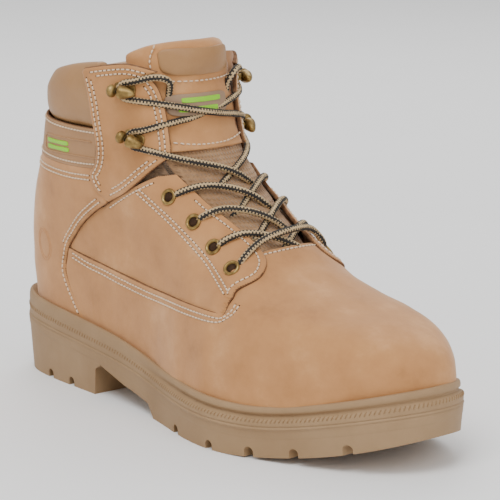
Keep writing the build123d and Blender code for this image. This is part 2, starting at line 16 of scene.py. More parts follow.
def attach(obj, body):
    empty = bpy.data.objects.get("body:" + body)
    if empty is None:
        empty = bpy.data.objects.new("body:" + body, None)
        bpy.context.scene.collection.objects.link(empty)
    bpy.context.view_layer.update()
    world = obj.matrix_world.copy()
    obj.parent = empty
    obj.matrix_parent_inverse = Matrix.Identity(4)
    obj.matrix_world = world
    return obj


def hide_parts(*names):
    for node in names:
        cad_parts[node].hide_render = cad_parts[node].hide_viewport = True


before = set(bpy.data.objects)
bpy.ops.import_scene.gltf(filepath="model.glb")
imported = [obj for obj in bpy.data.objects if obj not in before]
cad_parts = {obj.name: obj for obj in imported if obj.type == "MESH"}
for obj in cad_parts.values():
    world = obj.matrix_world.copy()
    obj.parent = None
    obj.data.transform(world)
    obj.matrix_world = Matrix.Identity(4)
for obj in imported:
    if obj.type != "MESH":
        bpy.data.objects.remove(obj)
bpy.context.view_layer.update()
MM = 0.001

# ---- the upper's face, as in the CAD (z, x) and (x, half width) -----------
FRONT = [(30, 150), (42, 152.5), (50, 152), (58, 148.5), (64.5, 140), (69.5, 125), (74, 105),
         (80, 84), (89.5, 62), (100, 44), (112.5, 26), (125, 8), (137, -6), (148, -13),
         (161, -17), (176, -20), (200, -22)]
BACK = [(30, -151.3), (44, -152), (60, -152.8), (80, -151.6), (100, -147), (120, -140), (140, -133),
        (155, -128), (175, -126), (200, -127)]
LATERAL = [(-156, 37), (-120, 38), (-96, 38.5), (-60, 40), (-22, 43.5), (17, 54), (54, 59),
           (88, 53.5), (116, 47.5), (142, 43), (156, 41)]
MEDIAL = [(-156, 35), (-120, 36), (-80, 36), (-40, 36), (0, 40), (50, 49), (90, 50), (120, 44.5),
          (156, 37)]
AXIS_Y = [(-156, 5), (-40, 4), (60, 4), (156, 10)]
LEAN = [(45, 1.0), (60, 0.97), (75, 0.9), (90, 0.82), (105, 0.78)]
TUCK = [(36, 2.4), (52, 1.4), (80, 0)]
TUCK_SHARE = [(-60, 1), (-5, 0)]
SHAFT = [(30, 38), (80, 39), (105, 37.5), (130, 37.5), (150, 40), (200, 45)]
SHAFT_SHARE = [(30, 0.0), (60, 0.15), (110, 0.9), (140, 1.0)]
TOE_SQUARE = [(30, 7), (60, 6), (75, 4.6), (90, 4), (105, 3.4), (120, 2.8), (150, 2.4), (200, 2.3)]
HEEL_SQUARE = [(30, 10), (60, 9), (90, 6.5), (120, 4.6), (150, 3.6), (200, 3.2)]
# ---- the sole: plan of the welt lip and heights along it ------------------
OUTLINE = [(-157.5, 5), (-151.5, -17.5), (-143, -23.5), (-127, -28.5), (-96.5, -32), (-62, -34.5),
           (-22, -39), (17, -50.5), (54, -56), (88, -47.5), (116, -37.5), (142, -23), (156, 3),
           (153, 21), (141, 37), (121, 48.5), (92, 54.5), (55, 54), (10, 46.5), (-35, 41),
           (-80, 41.5), (-120, 40), (-143, 33.5), (-154, 20)]
RAND_Z = [(-160, 46.2), (-60, 38.0), (0, 29.4), (70, 27.2), (160, 44.6)]
LIP_Z = [(-160, 31.4), (-60, 23.6), (0, 17.3), (70, 16.0), (160, 32.0)]

MIDDLE_Y = 4.0
Z_FOOT = 20.0
Z_TOP = 204.0
FOOT_ALLOWANCE = 5.0     # the tables above hold the sole's widths, the upper lies this far inside


def cubic(start, rise, m0, m1, u):
    """Cubic that climbs by rise while u runs from 0 to 1, with slopes m0 and m1 at its ends."""
    return start + m0 * u + (3 * rise - 2 * m0 - m1) * u**2 + (m0 + m1 - 2 * rise) * u**3


def smooth(table, t):
    """Monotone cubic through (t, value) pairs, flat beyond both ends."""
    place, value = np.array(table, float).T
    secants = np.diff(value) / np.diff(place)
    product = secants[:-1] * secants[1:]
    total = np.where(product > 0, secants[:-1] + secants[1:], 1.0)
    slopes = np.concatenate([secants[:1], np.where(product > 0, 2 * product / total, 0.0),
                             secants[-1:]])
    t = np.clip(np.asarray(t, float), place[0], place[-1])
    i = np.clip(np.searchsorted(place, t, "right") - 1, 0, len(place) - 2)
    width = place[i + 1] - place[i]
    u = (t - place[i]) / width
    return cubic(value[i], value[i + 1] - value[i], slopes[i] * width, slopes[i + 1] * width, u)


def unit(vectors):
    """Vectors brought to length 1."""
    vectors = np.asarray(vectors, float)
    return vectors / (np.linalg.norm(vectors, axis=-1, keepdims=True) + 1e-12)


def turns_of(count):
    """Angles of count points round a ring."""
    return np.linspace(0, 2 * np.pi, count + 1)[:-1]


def squarish(values, power):
    """Cosines or sines to a power, with their signs kept: rounds with fuller corners."""
    return np.sign(values) * np.abs(values) ** power


def ramp(t, start, end):
    """0 before start, 1 after end, smooth between."""
    u = np.clip((np.asarray(t, float) - start) / (end - start), 0.0, 1.0)
    return u * u * (3 - 2 * u)


def half_width(x, z, table):
    tuck = smooth(TUCK, z) * smooth(TUCK_SHARE, x)
    foot = (smooth(table, x) - FOOT_ALLOWANCE - tuck) * smooth(LEAN, z)
    share = smooth(SHAFT_SHARE, z)
    return foot * (1 - share) + smooth(SHAFT, z) * share


def face(q, z):
    """Points of the upper's face. q runs round the boot: 0 on the front ridge, -1 and 1 on the
    back line, negative on the lateral side; z is the height."""
    q = (np.asarray(q, float) + 1) % 2 - 1
    z = np.asarray(z, float)
    s = np.cos(np.pi * q)
    back = smooth(BACK, z)
    front = smooth(FRONT, z)
    x = (back + front) / 2 + s * (front - back) / 2
    power = np.where(s < 0, smooth(HEEL_SQUARE, z), smooth(TOE_SQUARE, z))
    fill = np.maximum(1 - np.abs(s) ** power, 0.0) ** (1 / 2.2)
    width = np.where(q < 0, half_width(x, z, LATERAL), half_width(x, z, MEDIAL))
    y = smooth(AXIS_Y, x) + np.where(q < 0, -1, 1) * width * fill
    return np.stack([x, y, z], -1)


def tangents(q, z):
    step_q, step_z = 0.004, 0.6
    along = (face(q + step_q, z) - face(q - step_q, z)) / (2 * step_q)
    up = (face(q, z + step_z) - face(q, z - step_z)) / (2 * step_z)
    return along, up


def normals(q, z):
    return unit(np.cross(*tangents(q, z)))


def at_x(side, points):
    """(q, z) of side-view points (x, z) on one side, -1 lateral or 1 medial."""
    x, z = np.array(points, float).T
    back = smooth(BACK, z)
    front = smooth(FRONT, z)
    s = np.clip((2 * x - back - front) / (front - back), -1, 1)
    return np.stack([side * np.arccos(s) / np.pi, z], -1)


def at_y(side, points):
    """(q, z) of front-view points: y is the lateral side's, and the medial side mirrors it."""
    found = []
    q = np.linspace(-0.5, 0.0, 400)
    for y, z in points:
        across = face(q, np.full(400, z))[:, 1]
        widest = int(across.argmin())
        found.append((-side * np.interp(y, across[widest:], q[widest:]), z))
    return np.array(found)


# ---- tables that turn (q, z) into a nearly flat plan (a, v), in mm --------
Q_TABLE = np.linspace(-1.4, 1.7, 776)
Z_TABLE = np.linspace(Z_FOOT, Z_TOP, 185)
_grid = face(Q_TABLE[None, :], Z_TABLE[:, None] + 0 * Q_TABLE[None, :])
_steps = np.linalg.norm(np.diff(_grid, axis=1), axis=-1)
A_TABLE = np.concatenate([np.zeros((len(Z_TABLE), 1)), np.cumsum(_steps, 1)], 1)
A_TABLE -= A_TABLE[:, [350]]
_ridge = np.stack([smooth(FRONT, Z_TABLE), Z_TABLE], -1)
V_TABLE = np.concatenate([[0], np.cumsum(np.linalg.norm(np.diff(_ridge, axis=0), axis=-1))])


def to_plan(qz):
    """(a, v) of points (q, z)."""
    qz = np.asarray(qz, float)
    rows = np.clip((qz[:, 1] - Z_FOOT) / (Z_TABLE[1] - Z_TABLE[0]), 0, len(Z_TABLE) - 1.001)
    low = rows.astype(int)
    part = rows - low
    a = [(1 - f) * np.interp(q, Q_TABLE, A_TABLE[i]) + f * np.interp(q, Q_TABLE, A_TABLE[i + 1])
         for q, i, f in zip(qz[:, 0], low, part)]
    return np.stack([a, np.interp(qz[:, 1], Z_TABLE, V_TABLE)], -1)


def q_row(z, a):
    """q of plan places a along the ring at height z."""
    row = min(max((z - Z_FOOT) / (Z_TABLE[1] - Z_TABLE[0]), 0), len(Z_TABLE) - 1.001)
    i = int(row)
    blend = (1 - row + i) * A_TABLE[i] + (row - i) * A_TABLE[i + 1]
    return np.interp(a, blend, Q_TABLE)


# ---- curves ----------------------------------------------------------------
def even(points, step):
    """Points at an even spacing along a polyline; its ends stay."""
    points = np.asarray(points, float)
    along = np.concatenate([[0], np.cumsum(np.linalg.norm(np.diff(points, axis=0), axis=1))])
    count = max(int(round(along[-1] / step)), 1)
    wanted = np.linspace(0, along[-1], count + 1)
    return np.stack([np.interp(wanted, along, points[:, k]) for k in range(points.shape[1])], -1)


def curve(points, fine=12):
    """Smooth curve through a few points, by a centripetal Catmull-Rom spline."""
    points = np.asarray(points, float)
    if len(points) < 3:
        return points
    ends = [2 * points[0] - points[1], *points, 2 * points[-1] - points[-2]]
    result = []
    for p0, p1, p2, p3 in zip(ends, ends[1:], ends[2:], ends[3:]):
        t0 = 0.0
        t1 = t0 + np.linalg.norm(p1 - p0) ** 0.5
        t2 = t1 + np.linalg.norm(p2 - p1) ** 0.5
        t3 = t2 + np.linalg.norm(p3 - p2) ** 0.5
        t = np.linspace(t1, t2, fine, endpoint=False)[:, None]
        a1 = (t1 - t) / (t1 - t0) * p0 + (t - t0) / (t1 - t0) * p1
        a2 = (t2 - t) / (t2 - t1) * p1 + (t - t1) / (t2 - t1) * p2
        a3 = (t3 - t) / (t3 - t2) * p2 + (t - t2) / (t3 - t2) * p3
        b1 = (t2 - t) / (t2 - t0) * a1 + (t - t0) / (t2 - t0) * a2
        b2 = (t3 - t) / (t3 - t1) * a2 + (t - t1) / (t3 - t1) * a3
        result.extend((t2 - t) / (t2 - t1) * b1 + (t - t1) / (t2 - t1) * b2)
    result.append(points[-1])
    return np.array(result)


def shift(qz, amount):
    """A line of (q, z) moved sideways on the face by mm, to its left seen from outside."""
    run = unit(np.gradient(face(*qz.T), axis=0))
    left = np.cross(normals(*qz.T), run) * amount
    systems = np.stack(tangents(*qz.T), -1)
    return qz + [np.linalg.lstsq(system, target, rcond=None)[0] for system, target in zip(systems, left)]


# ---- meshes ------------------------------------------------------------------
def linked(name, data):
    """New object in the scene."""
    obj = bpy.data.objects.new(name, data)
    bpy.context.scene.collection.objects.link(obj)
    return obj


def piece(name, points, faces, body, slot, materials, marks=None, replaced=()):
    """Mesh object from millimetre points, riding on a body."""
    mesh = bpy.data.meshes.new(name)
    mesh.from_pydata((np.asarray(points, float) * MM).tolist(), [], [list(f) for f in faces])
    for material in materials:
        mesh.materials.append(material)
    if marks is not None:
        mesh.polygons.foreach_set("material_index", np.asarray(marks, np.int32))
    mesh.polygons.foreach_set("use_smooth", np.full(len(mesh.polygons), True))
    mesh.update()
    mesh.validate()
    form = bmesh.new()
    form.from_mesh(mesh)
    if form.calc_volume(signed=True) < 0:      # its faces point inwards
        mesh.flip_normals()
    form.free()
    obj = linked(name, mesh)
    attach(obj, body)
    if replaced:
        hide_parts(*replaced)
    return obj


def join_parts(parts):
    """One list of points and faces from several (points, faces)."""
    points, faces, start = [], [], 0
    for some, loops in parts:
        points.append(np.asarray(some, float))
        faces.extend([[i + start for i in loop] for loop in loops])
        start += len(some)
    return np.concatenate(points), faces


def grid_faces(rows, columns, wrap_rows=False, wrap_columns=False):
    faces = []
    for i in range(rows if wrap_rows else rows - 1):
        for j in range(columns if wrap_columns else columns - 1):
            here, after = i * columns, (i + 1) % rows * columns
            right = (j + 1) % columns
            faces.append((here + j, here + right, after + right, after + j))
    return faces


def skin(rings):
    """Closed skin over a row of rings, with a face at each end."""
    rows, sides = len(rings), len(rings[0])
    first = tuple(range(sides))[::-1]
    last = tuple(range((rows - 1) * sides, rows * sides))
    return np.concatenate(rings), [*grid_faces(rows, sides, wrap_columns=True), first, last]


def lathe(profile, origin, axis, across, count):
    """Closed turned piece; profile is (place along the axis, radius), and starts and ends at radius 0
    or closes on itself."""
    side = np.cross(axis, across)
    places, radii = np.array(profile, float).T
    aways = [math.cos(turn) * across + math.sin(turn) * side for turn in turns_of(count)]
    rows = [origin + np.outer(places, axis) + np.outer(radii, away) for away in aways]
    closed = radii[0] > 0
    return np.concatenate(rows), grid_faces(count, len(profile), wrap_rows=True, wrap_columns=closed)


def frames(path):
    """Points of a path, each with two cross directions that are carried along it."""
    run = unit(np.gradient(path, axis=0))
    side = np.cross(run[0], [0.3, 0.2, 0.9])
    for p, d in zip(path, run):
        side = unit(side - d * np.dot(side, d))
        yield p, side, np.cross(d, side)


def ring(centre, side, other, radius, turns):
    return centre + np.outer(np.cos(turns) * radius, side) + np.outer(np.sin(turns) * radius, other)


def tube(path, radius, sides=10):
    """Closed tube round a line of points."""
    radii = np.broadcast_to(radius, len(path))
    return skin([ring(*here, r, turns_of(sides)) for here, r in zip(frames(path), radii)])


# ---- materials ------------------------------------------------------------
def adjust(made, **values):
    """Set a node's inputs, or its own properties, by name with _ for a space."""
    for name, value in values.items():
        key = name.replace("_", " ")
        if key in made.inputs:
            made.inputs[key].default_value = value
        else:
            setattr(made, name, value)


def node(tree, kind, place=None, **values):
    """New node with these values, fed with a place if one is given."""
    made = tree.nodes.new(kind)
    adjust(made, **values)
    if place is not None:
        tree.links.new(place, made.inputs["Vector"])
    return made


def base_material(name, colour, roughness, **values):
    material = bpy.data.materials.new(name)
    material.use_nodes = True
    tree = material.node_tree
    shader = tree.nodes["Principled BSDF"]
    adjust(shader, Base_Color=(*colour, 1), Roughness=roughness, **values)
    place = tree.nodes.new("ShaderNodeTexCoord")
    return material, tree, shader, place.outputs["Object"]


def mottled(tree, shader, place, colours, scale, detail=6.0, spread=0.16):
    """Colour that wanders between a few tones with noise of this scale (per metre)."""
    cloud = node(tree, "ShaderNodeTexNoise", place, Scale=scale, Detail=detail, Roughness=0.62)
    tones = tree.nodes.new("ShaderNodeValToRGB")
    band = tones.color_ramp
    while len(band.elements) < len(colours):
        band.elements.new(0.5)
    for k, colour in enumerate(colours):
        band.elements[k].position = 0.5 - spread + 2 * spread * k / (len(colours) - 1)
        band.elements[k].color = (*colour, 1)
    tree.links.new(cloud.outputs["Fac"], tones.inputs["Fac"])
    tree.links.new(tones.outputs["Color"], shader.inputs["Base Color"])


def bumpy(tree, shader, heights):
    """Bumps from several (height socket, strength, distance in metres)."""
    before = None
    for socket, strength, distance in heights:
        bump = node(tree, "ShaderNodeBump", Strength=strength, Distance=distance)
        tree.links.new(socket, bump.inputs["Height"])
        if before is not None:
            tree.links.new(before, bump.inputs["Normal"])
        before = bump.outputs["Normal"]
    tree.links.new(before, shader.inputs["Normal"])


def grain(tree, place, scale, detail=3.0):
    cloud = node(tree, "ShaderNodeTexNoise", place, Scale=scale, Detail=detail, Roughness=0.6)
    return cloud.outputs["Fac"]


def nubuck_material():
    """Sanded leather: blotchy tan with a fine nap and a soft sheen."""
    material, tree, shader, place = base_material(
        "nubuck", (0.47, 0.222, 0.085), 0.88, Sheen_Weight=0.35, Sheen_Roughness=0.45,
        Sheen_Tint=(1.0, 0.9, 0.78, 1), Specular_IOR_Level=0.22)
    mottled(tree, shader, place, [(0.39, 0.178, 0.066), (0.465, 0.218, 0.082), (0.51, 0.246, 0.095),
                                  (0.585, 0.302, 0.13)], 34.0, detail=7.0, spread=0.2)
    bumpy(tree, shader, [(grain(tree, place, 2600.0), 0.35, 0.00012),
                         (grain(tree, place, 420.0, 5.0), 0.3, 0.0004),
                         (grain(tree, place, 60.0), 0.25, 0.0012)])
    return material


def leather_material(name, colours, roughness, cell_bump=0.25):
    """Coated leather: even colour, cell-like grain and a low sheen."""
    material, tree, shader, place = base_material(name, colours[0], roughness, Specular_IOR_Level=0.4)
    mottled(tree, shader, place, colours, 45.0, spread=0.22)
    pores = node(tree, "ShaderNodeTexVoronoi", place, Scale=900.0)
    bumpy(tree, shader, [(pores.outputs["Distance"], cell_bump, 0.0002),
                         (grain(tree, place, 150.0), 0.2, 0.0006)])
    return material


def fibre_material(name, colours, scale=1500.0):
    """Raw cut edge, felt or foam: fibrous, dull, with strong fine noise."""
    material, tree, shader, place = base_material(name, colours[0], 0.95, Specular_IOR_Level=0.2)
    mottled(tree, shader, place, colours, 380.0, detail=8.0, spread=0.2)
    bumpy(tree, shader, [(grain(tree, place, scale), 0.5, 0.0003)])
    return material


def woven_material(name, colours, threads, angle=45.0, depth=0.0005):
    """Plain weave, from two crossed wave patterns."""
    material, tree, shader, place = base_material(name, colours[0], 0.9, Sheen_Weight=0.2)
    mottled(tree, shader, place, colours, 90.0, spread=0.2)
    turned = node(tree, "ShaderNodeMapping", place, Rotation=(0.0, 0.0, math.radians(angle)))
    both = node(tree, "ShaderNodeMath", operation="MULTIPLY")
    for k, direction in enumerate("YZ"):
        wave = node(tree, "ShaderNodeTexWave", turned.outputs["Vector"], Scale=threads, Distortion=0.6,
                    Detail=1.0, bands_direction=direction)
        tree.links.new(wave.outputs["Fac"], both.inputs[k])
    bumpy(tree, shader, [(both.outputs["Value"], 0.8, depth), (grain(tree, place, 2000.0), 0.3, 0.0002)])
    return material


def rubber_material():
    """Moulded polyurethane: matt, with faint flow marks and scuffs."""
    material, tree, shader, place = base_material("sole_rubber", (0.4, 0.29, 0.19), 0.62,
                                                  Specular_IOR_Level=0.32)
    mottled(tree, shader, place, [(0.27, 0.165, 0.08), (0.315, 0.197, 0.1), (0.355, 0.228, 0.12)],
            22.0, spread=0.22)
    bumpy(tree, shader, [(grain(tree, place, 900.0), 0.22, 0.00025),
                         (grain(tree, place, 90.0), 0.15, 0.0008)])
    return material


def metal_material(name, colours, roughness):
    """Plated or bare metal with worn, uneven gloss."""
    material, tree, shader, place = base_material(name, colours[0], roughness, Metallic=0.9)
    mottled(tree, shader, place, colours, 260.0, spread=0.2)
    wear = node(tree, "ShaderNodeMapRange", To_Min=roughness - 0.12, To_Max=roughness + 0.2)
    tree.links.new(grain(tree, place, 500.0), wear.inputs["Value"])
    tree.links.new(wear.outputs["Result"], shader.inputs["Roughness"])
    bumpy(tree, shader, [(grain(tree, place, 1200.0), 0.12, 0.0001)])
    return material


def thread_material(name, colour):
    """Twisted thread: fine slanted ridges."""
    material, tree, shader, place = base_material(name, colour, 0.8)
    darker = tuple(0.72 * c for c in colour)
    mottled(tree, shader, place, [darker, colour], 700.0, spread=0.25)
    wave = node(tree, "ShaderNodeTexWave", place, Scale=1400.0, Distortion=1.5)
    bumpy(tree, shader, [(wave.outputs["Fac"], 0.4, 0.00015)])
    return material


NUBUCK = nubuck_material()
COATED = leather_material("smooth_pu", [(0.33, 0.168, 0.064), (0.39, 0.208, 0.084)], 0.46)
BAND = leather_material("band_pu", [(0.345, 0.178, 0.074), (0.395, 0.21, 0.09)], 0.55)
RAW = fibre_material("raw_edge", [(0.09, 0.042, 0.02), (0.17, 0.085, 0.042), (0.24, 0.13, 0.07)])
RUBBER = rubber_material()
STEEL = metal_material("steel", [(0.45, 0.46, 0.47), (0.6, 0.61, 0.62)], 0.4)
BRASS = metal_material("antique_brass", [(0.14, 0.085, 0.028), (0.28, 0.18, 0.06), (0.46, 0.32, 0.12)],
                       0.42)
SOCKET_SHADOW = metal_material("brass_shadow", [(0.03, 0.02, 0.012), (0.06, 0.04, 0.02)], 0.6)
LINING = woven_material("lining_textile", [(0.25, 0.16, 0.095), (0.34, 0.225, 0.14)], 260.0)
WOVEN = woven_material("woven_textile", [(0.26, 0.135, 0.06), (0.42, 0.245, 0.12)], 150.0, 0.0, 0.0009)
# darker copy of the woven textile for the recessed gusset: painted shade
SHADED_WOVEN = woven_material("woven_shade", [(0.13, 0.07, 0.035), (0.25, 0.15, 0.08)], 150.0, 0.0, 0.0009)
FOAM = fibre_material("foam", [(0.34, 0.23, 0.14), (0.42, 0.29, 0.18)], scale=900.0)
BOARD = fibre_material("board", [(0.3, 0.2, 0.12), (0.38, 0.27, 0.17)])
THREAD = thread_material("cream_thread", (0.86, 0.66, 0.46))
RAND_THREAD = thread_material("rand_thread", (0.32, 0.19, 0.085))
# near-black discs in the needle holes and eyelet holes: painted shade
HOLE_SHADE = fibre_material("hole_shade", [(0.03, 0.015, 0.008), (0.06, 0.03, 0.015)])
LACE_LIGHT = thread_material("lace_beige", (0.62, 0.44, 0.23))
LACE_DARK = thread_material("lace_black", (0.022, 0.018, 0.015))
AGLET = leather_material("aglet", [(0.02, 0.018, 0.016), (0.035, 0.03, 0.026)], 0.25, cell_bump=0.05)
BADGE_FIELD = leather_material("badge", [(0.27, 0.17, 0.10), (0.33, 0.215, 0.13)], 0.55)
BADGE_MARK = leather_material("badge_green", [(0.22, 0.56, 0.008), (0.28, 0.64, 0.015)], 0.45)


# ---- leather panels ---------------------------------------------------------
BASE = -1.0            # the panels start a little under the CAD's outer face
GROOVE = -0.22         # how deep a sewn row pulls its leather in
EDGE_ROLL = [(0.0, 0.6), (0.4, 0.9), (0.95, 1.0)]     # (distance from the edge, share of thickness)


class Leather:
    """How a panel lies on the upper's face: lift of its underside, thickness and folds."""

    def __init__(self, lift, thick, folds=None):
        self.lift = lift
        self.thick = thick
        self.folds = folds

    def place(self, qz, share=1.0, extra=0.0):
        """Points at a share of the thickness, and the outward normals."""
        points = face(*qz.T)
        out = normals(*qz.T)
        height = BASE + self.lift(points[:, 0], points[:, 2]) + self.thick * share + extra
        if self.folds is not None:
            height = height + self.folds(points)
        return points + out * np.asarray(height)[:, None], out


def inside(points, loop):
    """Which plan points lie inside a closed loop."""
    x, y = points.T
    hit = np.zeros(len(points), bool)
    for (x0, y0), (x1, y1) in zip(loop, np.roll(loop, -1, 0)):
        crossing = (y0 > y) != (y1 > y)
        if crossing.any():
            at = x0 + (y - y0) / (y1 - y0 + 1e-12) * (x1 - x0)
            hit ^= crossing & (x < at)
    return hit


def evenly(qz, step):
    """A line of (q, z) respaced by its length on the face."""
    qz = np.asarray(qz, float)
    spaced = even(np.column_stack([face(*qz.T), qz[:, 0]]), step)
    return spaced[:, [3, 2]]


def loop_of(*edges):
    """Closed outline (q, z) from lines in order; where two of them meet, the point counts once."""
    points = np.vstack(edges)
    gap = np.linalg.norm(points - np.roll(points, -1, 0), axis=1)
    return points[gap > 1e-9]


def tree_of(points):
    tree = KDTree(len(points))
    for k, p in enumerate(points):
        tree.insert(p, k)
    tree.balance()
    return tree


def distances(tree, qz):
    """How far points (q, z) of the face are from a tree's nearest point."""
    return np.array([tree.find(p)[2] for p in face(*qz.T)])


def plan_fill(plan_rim, step):
    """Points (q, z) of a triangular grid over the plan of a panel."""
    low, high = plan_rim.min(0), plan_rim.max(0)
    rows = []
    for r, v in enumerate(np.arange(low[1] + step / 2, high[1], step * 0.87)):
        z = float(np.interp(v, V_TABLE, Z_TABLE))
        q = q_row(z, np.arange(low[0], high[0], step) + (r % 2) * step / 2)
        rows.append(np.stack([q, np.full(len(q), z)], -1))
    return np.vstack(rows)


def panel(name, loop, lay, slot="nubuck", materials=None, grooves=(), step=3.0, boundary_step=1.3,
          replaced=()):
    """Closed leather panel with rolled raw edges, cut to an outline on the upper's face."""
    rim = evenly(np.vstack([loop, loop[:1]]), boundary_step)[:-1]
    plan_rim = to_plan(rim)
    (a0, v0), (a1, v1) = plan_rim.T, np.roll(plan_rim, -1, 0).T
    if np.sum(a0 * v1 - a1 * v0) < 0:
        rim = rim[::-1].copy()
        plan_rim = plan_rim[::-1].copy()
    edge = len(rim)
    rim_tree = tree_of(face(*rim.T))
    spots = [rim]
    shares = [np.full(edge, EDGE_ROLL[0][1])]
    sinks = [np.zeros(edge)]

    def keep(qz, share, sink, clear):
        good = inside(to_plan(qz), plan_rim) & (distances(rim_tree, qz) > clear)
        spots.append(qz[good])
        shares.append(np.full(good.sum(), share))
        sinks.append(np.full(good.sum(), sink))

    closed = np.vstack([rim[-1:], rim, rim[:1]])
    for distance, share in EDGE_ROLL[1:]:
        keep(shift(closed, distance)[1:-1], share, 0.0, 0.8 * distance)
    fill = plan_fill(plan_rim, step)
    lines = []
    for line in grooves:
        line = evenly(line, 1.5)
        for aside, sink in ((-0.9, 0.0), (0.0, GROOVE), (0.9, 0.0)):
            lines.append(shift(line, aside) if aside else line)
            keep(lines[-1], 1.0, sink, 1.0)
    if lines:
        fill = fill[distances(tree_of(face(*np.vstack(lines).T)), fill) > 1.3]
    keep(fill, 1.0, 0.0, 1.7)

    qz = np.vstack(spots)
    result = delaunay_2d_cdt([Vector(p) for p in to_plan(qz)], [], [list(range(edge))], 1, 1e-4)
    first = [ids[0] if ids else -1 for ids in result[3]]
    used = [[first[i] for i in corners] for corners in result[2]]
    used = [corners for corners in used if min(corners) >= 0 and len(set(corners)) == 3]
    kept = sorted({i for corners in used for i in corners})
    index = {old: new for new, old in enumerate(kept)}
    count = len(kept)
    qz, share, sink = qz[kept], np.concatenate(shares)[kept], np.concatenate(sinks)[kept]
    top, _ = lay.place(qz, share, sink)
    bottom, _ = lay.place(qz, 0.0, -0.3)
    tops = [[index[i] for i in corners] for corners in used]
    faces = tops + [[count + i for i in reversed(corners)] for corners in tops]
    marks = [int(max(share[i] for i in corners) < 1.0) for corners in tops] + [0] * len(tops)
    for a, b in zip(range(edge), [*range(1, edge), 0]):
        if a in index and b in index:
            faces.append([index[b], index[a], count + index[a], count + index[b]])
            marks.append(1)
    piece(name, np.vstack([top, bottom]), faces, "boot", slot, materials or [NUBUCK, RAW], marks, replaced)


STITCH_PITCH = 2.7
STITCH_R = 0.46


STITCH_ARC = [(0.13, -0.15), (0.27, 0.2), (0.5, 0.3), (0.73, 0.2), (0.87, -0.15)]
# dark disc at each needle hole: painted shade where the thread goes in
NEEDLE_HOLE = [(-0.12, 0), (-0.1, 0.5), (0.05, 0.44), (0.08, 0)]


def stitch(p0, p1, out, arc):
    """Thread between two needle holes; arc holds (share of the way, height) of its points."""
    path = [p0 + (p1 - p0) * t + out * height for t, height in arc]
    return tube(path, [0.24, STITCH_R, STITCH_R, STITCH_R, 0.24], sides=7)


def stitching(name, lines, lay):
    """Sewn rows of stitches along lines of (q, z) on one leather, with a dark disc of painted shade at each
    needle hole.
    """
    marks, parts = [], []
    for line in lines:
        at, out = lay.place(evenly(line, STITCH_PITCH), 1.0, -0.12)
        some = [stitch(p0, p1, n, STITCH_ARC) for p0, p1, n in zip(at, at[1:], out)]
        # dark discs of painted shade in the needle holes
        holes = [lathe(NEEDLE_HOLE, p, n, unit(np.cross(n, [0.2, 0.1, 1.0])), 8) for p, n in zip(at, out)]
        parts += some + holes
        marks += [0] * sum(len(faces) for _, faces in some) + [1] * sum(len(faces) for _, faces in holes)
    points, faces = join_parts(parts)
    piece(name, points, faces, "boot", "nubuck", [THREAD, HOLE_SHADE], marks)


def sewn_panel(name, loop, lay, lines, replaced):
    """A leather panel with its sewn rows."""
    panel(f"{name}_leather", loop, lay, grooves=lines, replaced=(replaced,))
    stitching(f"{name}_stitching", lines, lay)


# ---- panel edges, side view (x, z) or front view (y, z) -------------------
HEEL_FRONT = [(-79, 22), (-86, 39), (-92, 47.5), (-97.5, 56), (-101, 65), (-99.5, 72), (-96.5, 79),
              (-90, 86), (-81, 94.5), (-68, 103.6), (-57, 109.5)]
WING_TOP = [(-103, 79), (-80, 75.4), (-62.5, 73.4), (-44, 71.2), (-20.6, 69.2), (7.3, 69.0),
            (28, 68.7), (44, 68.9), (48.4, 69.5)]
FLAP_FRONT = [(-22.3, 130), (-20.4, 123), (-18.2, 114.8), (-15.2, 107.7), (-13.6, 98.5),
              (-15.4, 92.8), (-21.2, 87.8), (-34.0, 80.5), (-38.4, 76)]
QUARTER_TOP = [(-64, 106), (-59, 108.8), (-44, 117.2), (-31, 124), (-22, 128.3)]
ANKLE_REAR = [(-67.8, 180), (-65, 169), (-63, 151.5), (-62.5, 140), (-65, 130), (-69.5, 123.7),
              (-65, 115.5), (-57, 109.7)]
ANKLE_LOW = [(-57, 109.7), (-41.6, 117.4), (-30, 126.4), (-20, 136.5)]
ANKLE_FRONT = [(-21.5, 137.5), (-20, 144), (-19.6, 152), (-19.8, 161), (-21.8, 173), (-25.5, 180)]
ANKLE_TOP = [(-28.5, 182.2), (-34.5, 184.6), (-41, 186), (-52, 184.8), (-65.6, 182.4)]
BAND_LOW = [(-66, 126.6), (-80, 125.6), (-97, 125.3), (-119, 126.3), (-136, 128)]
BAND_HIGH = [(-60, 149.5), (-82, 149), (-107, 149.8), (-131, 152)]
PAD_TOP = [(-64, 184), (-82, 181.5), (-102, 177.5), (-127, 172.5)]
EYELETS = [(40, 88.5), (23, 97.5), (6.5, 108), (-12.5, 118.5)]
HOOKS = [(-37, 146.5, 18), (-42, 172, 4)]
EMBOSS = (-121.5, 76)
SIDES = {"lateral": -1, "medial": 1}


def wander(points, scale, amount, seed=0.0):
    """Smooth random height, scale in mm."""
    return np.array([amount * noise.noise(Vector(p / scale) + Vector((seed, 2 * seed, 0)))
                     for p in np.asarray(points)])


def vamp_folds(points):
    """Slight creases across the ball and a soft unevenness everywhere."""
    x, z = points[:, 0], points[:, 2]
    crease = np.exp(-((x - 58) / 13) ** 2) * ramp(z, 45, 80)
    wave = 0.35 * np.sin((x + 0.35 * z) / 3.1) * crease
    return wave + wander(points, 24, 0.45) + wander(points, 9, 0.16, 3.0)


def quarter_folds(points):
    x, z = points[:, 0], points[:, 2]
    dip = -0.9 * np.exp(-(((x + 48) / 26) ** 2 + ((z - 92) / 14) ** 2))
    return dip + wander(points, 26, 0.7, 5.0) + wander(points, 10, 0.2, 9.0)


def ankle_folds(points):
    return wander(points, 16, 0.7, 12.0) + wander(points, 7, 0.22, 14.0)


def soft_folds(points):
    return wander(points, 30, 0.5, 20.0)


def constant(value):
    return lambda x, z: value + 0 * x


def vamp_lift(x, z):
    """Wings lie high over the heel panels' edge; the throat and the toe lie low."""
    low = np.maximum(ramp(x, 38, 50), ramp(z, 76, 84) * ramp(x, -20, 20))
    return 0.6 + 0.15 * ramp(x, -96, -80) - 1.25 * low - 0.9 * ramp(x, 112, 150)


